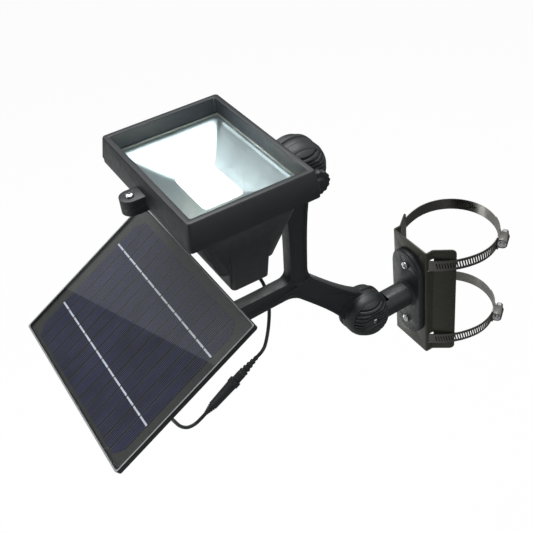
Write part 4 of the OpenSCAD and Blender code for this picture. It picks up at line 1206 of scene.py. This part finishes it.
@dataclass
class Knuckle:
    """Sizes that the three ribbed knuckles share."""

    reach: float = 60 * MM
    flange_t: float = 6 * MM
    screw_gap: float = 81.2 * MM
    head_seat: float = 12.2 * MM
    cup_depth: float = 25 * MM
    flange_head: Stop = (4.6 * MM, 2.8 * MM)
    bolt_head: Stop = (3.4 * MM, 3.9 * MM)
    bolt_r: float = 2 * MM
    screw_r: float = 2.4 * MM
    split: float = 8 * MM
    flat: float = 16.6 * MM
    top: float = 30 * MM
    cup_r: float = 27 * MM
    spigot_r: float = 15 * MM
    gap: float = 0.3 * MM
    rib_pitch: float = 3.8 * MM
    rib_depth: float = 2.5 * MM
    groove_widths: Stop = (0.8 * MM, 3.0 * MM)
    grooves: int = 11
    groove_shift: float = -0.5 * MM

    def turned(self, name: str, profile: Sequence[Stop], place: Lean) -> Piece:
        """Turns a loop round the knuckle's own axis, which runs along X.

        Args:
            name: The object's name.
            profile: Radius and distance along the axis of each point.
            place: The knuckle's place.

        Returns:
            The turned ring or disc.
        """
        ring = all(radius > 0 for radius, _ in profile)
        mesh = lathe(name, profile, 96, ring)
        mesh.transform(place.matrix() @ Matrix(((0, 0, 1, 0), (1, 0, 0, 0), (0, 1, 0, 0), (0, 0, 0, 1))))
        return piece_of(name, mesh)

    def ring(self, name: str, radii: Stop, ends: Stop, place: Lean) -> Piece:
        """Turns a plain ring, or a disc where its inner radius is 0."""
        (inner, outer), (near, far) = radii, ends
        return self.turned(name, [(inner, near), (outer, near), (outer, far), (inner, far)], place)

    def cutters(self, place: Lean) -> list[Piece]:
        """Makes a ribbed dome's cutters: room for the cup's collar, a flat top and the grooves across it.

        Args:
            place: The dome's place, with its stub along Y.

        Returns:
            Three scratch objects.
        """
        r = self.cup_r + 0.5 * MM
        room = self.ring("collar_room", (self.spigot_r, r), (-MM, self.split), place)
        crown = self.ring("crown_room", (0, r), (self.flat, self.top), place)
        bm = bmesh.new()
        deep, wide = self.groove_widths
        for i in range(self.grooves):
            z = (i - (self.grooves - 1) / 2) * self.rib_pitch + self.groove_shift
            for v in bmesh.ops.create_cube(bm, size=1.0)["verts"]:
                width, x = (deep, self.flat - self.rib_depth) if v.co.x < 0 else (wide, self.flat + 0.1 * MM)
                v.co = Vector((x, v.co.y * 2 * r, z + v.co.z * width))
        bm.transform(place.matrix())
        return [room, crown, piece_of("groove_bars", mesh_from(bm, "groove_bars"))]

    def collar(self, name: str, place: Lean) -> Piece:
        """Turns the raised collar that a cup has round its dome's spigot."""
        bore, cup, end = self.spigot_r + self.gap, self.cup_r, self.split - self.gap
        profile = [
            (bore, -2.6 * MM),
            (cup - 0.4 * MM, -2.6 * MM),
            (cup - 0.4 * MM, 0),
            (cup - 1.4 * MM, self.split - 4 * MM),
            (cup - 2.4 * MM, self.split - 1.6 * MM),
            (cup - 3.6 * MM, end),
            (bore, end),
        ]
        return self.turned(name, profile, place)

    def bolt(self) -> Screw:
        """The long bolt through dome and cup."""
        length = self.head_seat + self.cup_depth - 0.6 * MM
        return Screw("knuckle_bolt", *self.bolt_head, self.bolt_r, length, threaded=0.25)

    def bolt_seat(self, pivot: Vector) -> list[Seat]:
        """Gives where the bolt's head seats in its dome."""
        return [(pivot + Vector((self.head_seat, 0, 0)), Vector((1, 0, 0)))]

    def flange_screw(self, name: str, beyond: float) -> Screw:
        """A screw through the flange that goes a length beyond it."""
        return Screw(name, *self.flange_head, self.screw_r, self.flange_t + beyond, threaded=0.6)


@dataclass
class PoleMount(Assembly):
    """Bracket, two worm-drive bands and the wall-side half of the first knuckle."""

    pivot: Vector = field(default_factory=Vector)
    knuckle: Knuckle = field(default_factory=Knuckle)
    behind_flange: float = 5.8 * MM

    def build(self) -> None:
        """Dresses the sheet, the bands and the flange, and drives the screws in."""
        self.soften("pole_bracket", 0.35, Look.bracket_paint, "bent_bracket")
        cutters = self.knuckle.cutters(Lean(tuple(self.pivot)))
        self.soften("base_flange", 0.45, Look.body_plastic, "wall_flange", cutters)
        self.dress_nodes({"base_nuts": Look.screw_steel})
        for side in ("upper", "lower"):
            self.soften(f"{side}_worm_housing", 0.3, Look.band_steel, f"{side}_worm_shell")
            self.dress_nodes({f"{side}_band": Look.band_steel, f"{side}_worm_screw": Look.screw_steel})
        seat_y = self.pivot.y + self.knuckle.reach - self.knuckle.flange_t
        heights = [self.pivot.z + s * self.knuckle.screw_gap / 2 for s in (-1, 1)]
        spots = [(Vector((0, seat_y, z)), Vector((0, -1, 0))) for z in heights]
        screw = self.knuckle.flange_screw("wall_flange_screw", self.behind_flange)
        self.fasteners.drive_in("wall_flange_screws", screw, spots, "base_screws", 3)
        bolt, head = self.knuckle.bolt(), self.knuckle.bolt_seat(self.pivot)
        self.fasteners.drive_in("wall_knuckle_bolt", bolt, head, "base_knuckle_bolt", 5)


@dataclass
class ForkedArm(Assembly):
    """Y-shaped arm with its stepped cups, back cover, discs and nuts."""

    hub: Vector = field(default_factory=Vector)
    cups: Sequence[Vector] = ()
    knuckle: Knuckle = field(default_factory=Knuckle)
    up_deg: float = 84.5
    out_deg: float = 179.7
    stem_deg: float = 312.1
    back_x: float = -19.0 * MM

    def cover_spots(self) -> list[Seat]:
        """Gives where each cover screw seats, with all heads facing the back."""
        up, out, stem = self.up_deg, self.out_deg, self.stem_deg
        runs = [(0, 0), (up, 52), (up, 98), (out, 52), (out, 98), (stem, 50)]
        rays = [(math.cos(math.radians(a)) * r * MM, math.sin(math.radians(a)) * r * MM) for a, r in runs]
        return [(Vector((self.back_x, self.hub.y + y, self.hub.z + z)), Vector((-1, 0, 0))) for y, z in rays]

    def build(self) -> None:
        """Dresses the arm and drives the cover screws in."""
        self.soften("arm_shell", 0.45, Look.body_plastic, "forked_shell")
        self.soften("arm_back_cover", 0.3, Look.body_plastic, "fork_cover")
        for number, spot in enumerate(self.cups, 1):
            collar = self.knuckle.collar(f"cup_collar_{number}", Lean(tuple(spot)))
            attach(self.wardrobe.dress(collar, Look.body_plastic), "arm")
        self.dress_nodes({"friction_discs": Look.friction_rubber, "knuckle_nuts": Look.screw_steel})
        screw = Screw("cover_screw", 2.7 * MM, 1.6 * MM, 1.4 * MM, 7.6 * MM)
        self.fasteners.drive_in("fork_cover_screws", screw, self.cover_spots(), "arm_cover_screws", 7)


@dataclass
class FloodLamp(Assembly):
    """Lamp with its housing, bezel, glass, reflector, emitters and what is inside."""

    face: Lean = field(default_factory=lambda: Lean((0, 0, 0)))
    pivot: Vector = field(default_factory=Vector)
    knuckle: Knuckle = field(default_factory=Knuckle)
    reflector_bottom: float = -34 * MM
    chip_pitch: Stop = (5.6 * MM, 6.4 * MM)
    chip_size: Point = (2.8 * MM, 3.5 * MM, 0.8 * MM)
    chip_count: tuple[int, int] = (9, 5)
    window: Stop = (28 * MM, 19 * MM)
    dish_rim: Stop = (74.9 * MM, 52.2 * MM)
    dish_lip: float = 1.6 * MM
    dish_top: float = -17.8 * MM
    dish_sheet: float = 0.8 * MM
    dish_curve: float = 0.8
    dish_steps: int = 10
    dish_corner: float = 5 * MM
    ear_y: float = -69.5 * MM
    ear_top: float = -12.5 * MM
    post: Stop = (42 * MM, 21.5 * MM)
    boss_r: Stop = (3.2 * MM, 5.6 * MM)
    boss_end: float = 22.6 * MM
    board_t: float = 1.6 * MM
    ear_screw: Screw = Screw("ear_screw", 3.9 * MM, 2.4 * MM, 2 * MM, 13 * MM)
    plate_screw: Screw = Screw("plate_screw", 2.6 * MM, 1.4 * MM, 1.2 * MM, 12 * MM)

    def emitters(self) -> None:
        """Lays the emitters on their board."""
        grid = Grid(self.chip_pitch, self.chip_count, self.reflector_bottom + self.chip_size[2] / 2)
        chip = block(self.chip_size, 0.12 * MM)
        grid.lay("emitters", "led_chips", chip, self.face, self.wardrobe, Look.led_phosphor)

    def dish(self) -> Piece:
        """Presses the reflector: a rim under the glass and curved walls down to the emitters' window.

        Returns:
            The reflector, which replaces the plain one.
        """
        top, sheet = self.dish_top, self.dish_sheet
        mouth = [half - self.dish_lip for half in self.dish_rim]
        inner = [(*self.dish_rim, top), (*mouth, top)]
        for i in range(1, self.dish_steps + 1):
            share = (1 - i / self.dish_steps) ** self.dish_curve
            half = [low + (high - low) * share for low, high in zip(self.window, mouth)]
            inner.append((*half, top + (self.reflector_bottom - top) * i / self.dish_steps))
        outer = [(x + sheet, y + sheet, z - sheet * 0.4) for x, y, z in reversed(inner)]
        outer[0] = (inner[-1][0] + sheet, inner[-1][1] + sheet, inner[-1][2])
        outer[-1] = (*self.dish_rim, top - sheet)
        outer[-2] = (mouth[0] + sheet, mouth[1] + sheet, top - sheet)
        mesh = frame_mesh("reflector_dish", inner + outer, self.dish_corner, self.face)
        piece = self.wardrobe.dress(piece_of("reflector_dish", mesh), Look.reflector_chrome)
        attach(piece, "lamp")
        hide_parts("reflector")
        return piece

    def knob_boss(self) -> None:
        """Lengthens the hand knob's boss down to the flat top of its dome."""
        ends = (self.knuckle.flat + self.knuckle.gap, self.boss_end)
        boss = self.knuckle.ring("knob_boss", self.boss_r, ends, Lean(tuple(self.pivot)))
        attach(self.wardrobe.dress(boss, Look.body_plastic), self.nodes["lamp_knob"]["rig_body"])

    def build(self) -> None:
        """Dresses the lamp, lights its emitters and drives its screws in."""
        cutters = self.knuckle.cutters(Lean(tuple(self.pivot), self.face.tilt_deg))
        self.soften("rear_housing", 0.5, Look.body_plastic, "tapered_housing", cutters)
        self.soften("lamp_bezel", 0.45, Look.body_plastic, "front_bezel")
        self.soften("lamp_knob", 0.35, Look.body_plastic, "hand_knob")
        self.knob_boss()
        self.soften("lamp_gland", 0.2, Look.body_plastic, "lamp_gland_nut")
        self.dress_nodes({
            "lamp_glass": Look.lamp_glass,
            "lamp_gasket": Look.white_board,
            "bezel_hinge_pins": Look.screw_steel,
            "led_board": Look.white_board,
            "heat_plate": Look.heat_aluminium,
            "battery_holder": Look.body_plastic,
            "battery_cells": Look.cell_wrap,
            "control_board": Look.green_board,
            "lamp_knuckle_bolt": Look.screw_steel,
        })
        self.emitters()
        self.dish()
        up = self.face.way(0, 0, 1)
        ear = [(self.face.out(0, self.ear_y, self.ear_top), up)]
        self.fasteners.drive_in("closing_screw", self.ear_screw, ear, "bezel_screw", 11)
        posts = self.face.corner_seats(*self.post, self.reflector_bottom - self.board_t, up)
        self.fasteners.drive_in("heat_plate_fixings", self.plate_screw, posts, "heat_plate_screws", 13)


@dataclass
class SunPanel(Assembly):
    """Solar panel with its tray, cells, junction box and knuckle half."""

    face: Lean = field(default_factory=lambda: Lean((0, 0, 0)))
    pivot: Vector = field(default_factory=Vector)
    knuckle: Knuckle = field(default_factory=Knuckle)
    panel_t: float = 5.4 * MM
    box_h: float = 6.4 * MM
    box_half: Stop = (46 * MM, 64 * MM)
    box_inset: float = 7 * MM
    box_y: float = 2 * MM
    strips: int = STRIPS
    strip_pitch: float = FIELD_W / STRIPS
    busbar_y: float = 38.5 * MM
    busbar_z: float = -2.45 * MM
    tab: Point = (12.1 * MM, 1.8 * MM, 0.2 * MM)
    panel_half: Stop = (105.7 * MM, 82 * MM)
    rim_steps_mm: Sequence[Stop] = ((0.1, -0.4), (0.1, -0.1), (0.3, 0.06), (1.35, 0.06), (1.35, -0.4))
    rim_corner: float = 2.5 * MM

    def painted_highlight_rim(self) -> None:
        """Lays a pale band along the top of the tray's thin rim, whose colour is a painted highlight."""
        x, y = self.panel_half
        rings = [(x - inset * MM, y - inset * MM, height * MM) for inset, height in self.rim_steps_mm]
        rim = piece_of("tray_rim", frame_mesh("tray_rim", rings, self.rim_corner, self.face))
        # The band's pale finish is a painted highlight, not the plastic's own colour
        rim.data.materials.append(PAINTED_HIGHLIGHT_RIM.make())
        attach(rim, "panel")

    def build(self) -> None:
        """Dresses the panel and drives its screws in."""
        self.soften("panel_tray", 0.3, Look.body_plastic, "panel_frame")
        self.painted_highlight_rim()
        self.soften("junction_box", 0.4, Look.body_plastic, "junction_cover")
        cutters = self.knuckle.cutters(Lean(tuple(self.pivot), self.face.tilt_deg + 90))
        self.soften("panel_flange", 0.45, Look.body_plastic, "panel_flange_half", cutters)
        self.soften("panel_gland", 0.2, Look.body_plastic, "panel_gland_nut")
        self.dress_nodes({
            "panel_backsheet": Look.backsheet, "solar_cells": Look.silicon, "panel_glass": Look.panel_glass,
        })
        tabs = Grid((self.strip_pitch, 2 * self.busbar_y), (self.strips, 2), self.busbar_z, -1 * MM)
        tab = block(self.tab, 0.08 * MM)
        tabs.lay("busbar_tabs", "busbars", tab, self.face, self.wardrobe, Look.busbar_silver)
        under = self.face.way(0, 0, -1)
        depth = -self.panel_t - self.box_h
        x, y = self.box_half[0] - self.box_inset, self.box_half[1] - self.box_inset
        corners = self.face.corner_seats(x, y, depth, under, self.box_y)
        cover = Screw("box_screw", 2.7 * MM, 1.6 * MM, 1.4 * MM, self.box_h - 2 * MM)
        self.fasteners.drive_in("junction_cover_screws", cover, corners, "junction_box_screws", 17)
        seat = depth - self.knuckle.flange_t
        pair = [(self.face.out(0, self.box_y + s * self.knuckle.screw_gap / 2, seat), under) for s in (-1, 1)]
        flange = self.knuckle.flange_screw("panel_flange_screw", self.box_h - 2 * MM)
        self.fasteners.drive_in("panel_flange_fixings", flange, pair, "panel_flange_screws", 19)
        bolt, head = self.knuckle.bolt(), self.knuckle.bolt_seat(self.pivot)
        self.fasteners.drive_in("panel_bolt", bolt, head, "panel_knuckle_bolt", 23)


@dataclass(frozen=True)
class Plan:
    """Where the faces, the fork and the glands are, as the part's source has them."""

    lamp_tilt: float = -2.8
    lamp_face: Point = (0, -91 * MM, 54.7 * MM)
    panel_tilt: float = 27.9
    panel_face: Point = (0, -2 * MM, 71.8 * MM)
    plate_face: Point = (0, -55.4 * MM, 0)
    stem_len: float = 113.2 * MM
    stem_deg: float = 132.1
    lamp_gland: Stop = (-20 * MM, 6 * MM)
    lamp_gland_z: Stop = (-109.5 * MM, -121.5 * MM)
    panel_gland: Stop = (36 * MM, -32 * MM)
    panel_gland_z: Stop = (-18.8 * MM, -30.8 * MM)

    def hub(self, start: Vector) -> Vector:
        """Gives the middle of the arm's fork from the stem's lower end."""
        angle = math.radians(self.stem_deg)
        return start + self.stem_len * Vector((0, math.cos(angle), math.sin(angle)))


def main() -> None:
    """Loads the frame and builds every sub-assembly in order."""
    logging.basicConfig(level=logging.INFO, format="%(name)s: %(message)s")
    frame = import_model()
    pivots = {j["name"]: Vector(j["pos_m"]) for j in frame["joints"]}
    plan = Plan()
    lamp_face = Lean(tuple(pivots["lamp_tilt"]), plan.lamp_tilt).then(*plan.lamp_face)
    panel_face = Lean(tuple(pivots["panel_tilt"]), plan.panel_tilt).then(*plan.panel_face)
    Studio().build(panel_face, Lean(plan.plate_face, 90), lamp_face)
    wardrobe = Wardrobe()
    lamp_ends = [lamp_face.out(*plan.lamp_gland, z) for z in plan.lamp_gland_z]
    panel_ends = [panel_face.out(*plan.panel_gland, z) for z in plan.panel_gland_z]
    Cabling(wardrobe, *lamp_ends, *panel_ends).lay()
    fasteners = FastenerBox(wardrobe)
    shared = (wardrobe, fasteners, frame["nodes"])
    PoleMount(*shared, pivot=pivots["arm_tilt"]).build()
    cups = [pivots[joint] for joint in ("arm_tilt", "lamp_tilt", "panel_tilt")]
    ForkedArm(*shared, hub=plan.hub(cups[0]), cups=cups).build()
    FloodLamp(*shared, face=lamp_face, pivot=pivots["lamp_tilt"]).build()
    SunPanel(*shared, face=panel_face, pivot=pivots["panel_tilt"]).build()
    Assembly(*shared).dress_nodes({"cable_plug": Look.body_plastic, "cable_socket": Look.body_plastic})


if __name__ == "__main__":
    main()
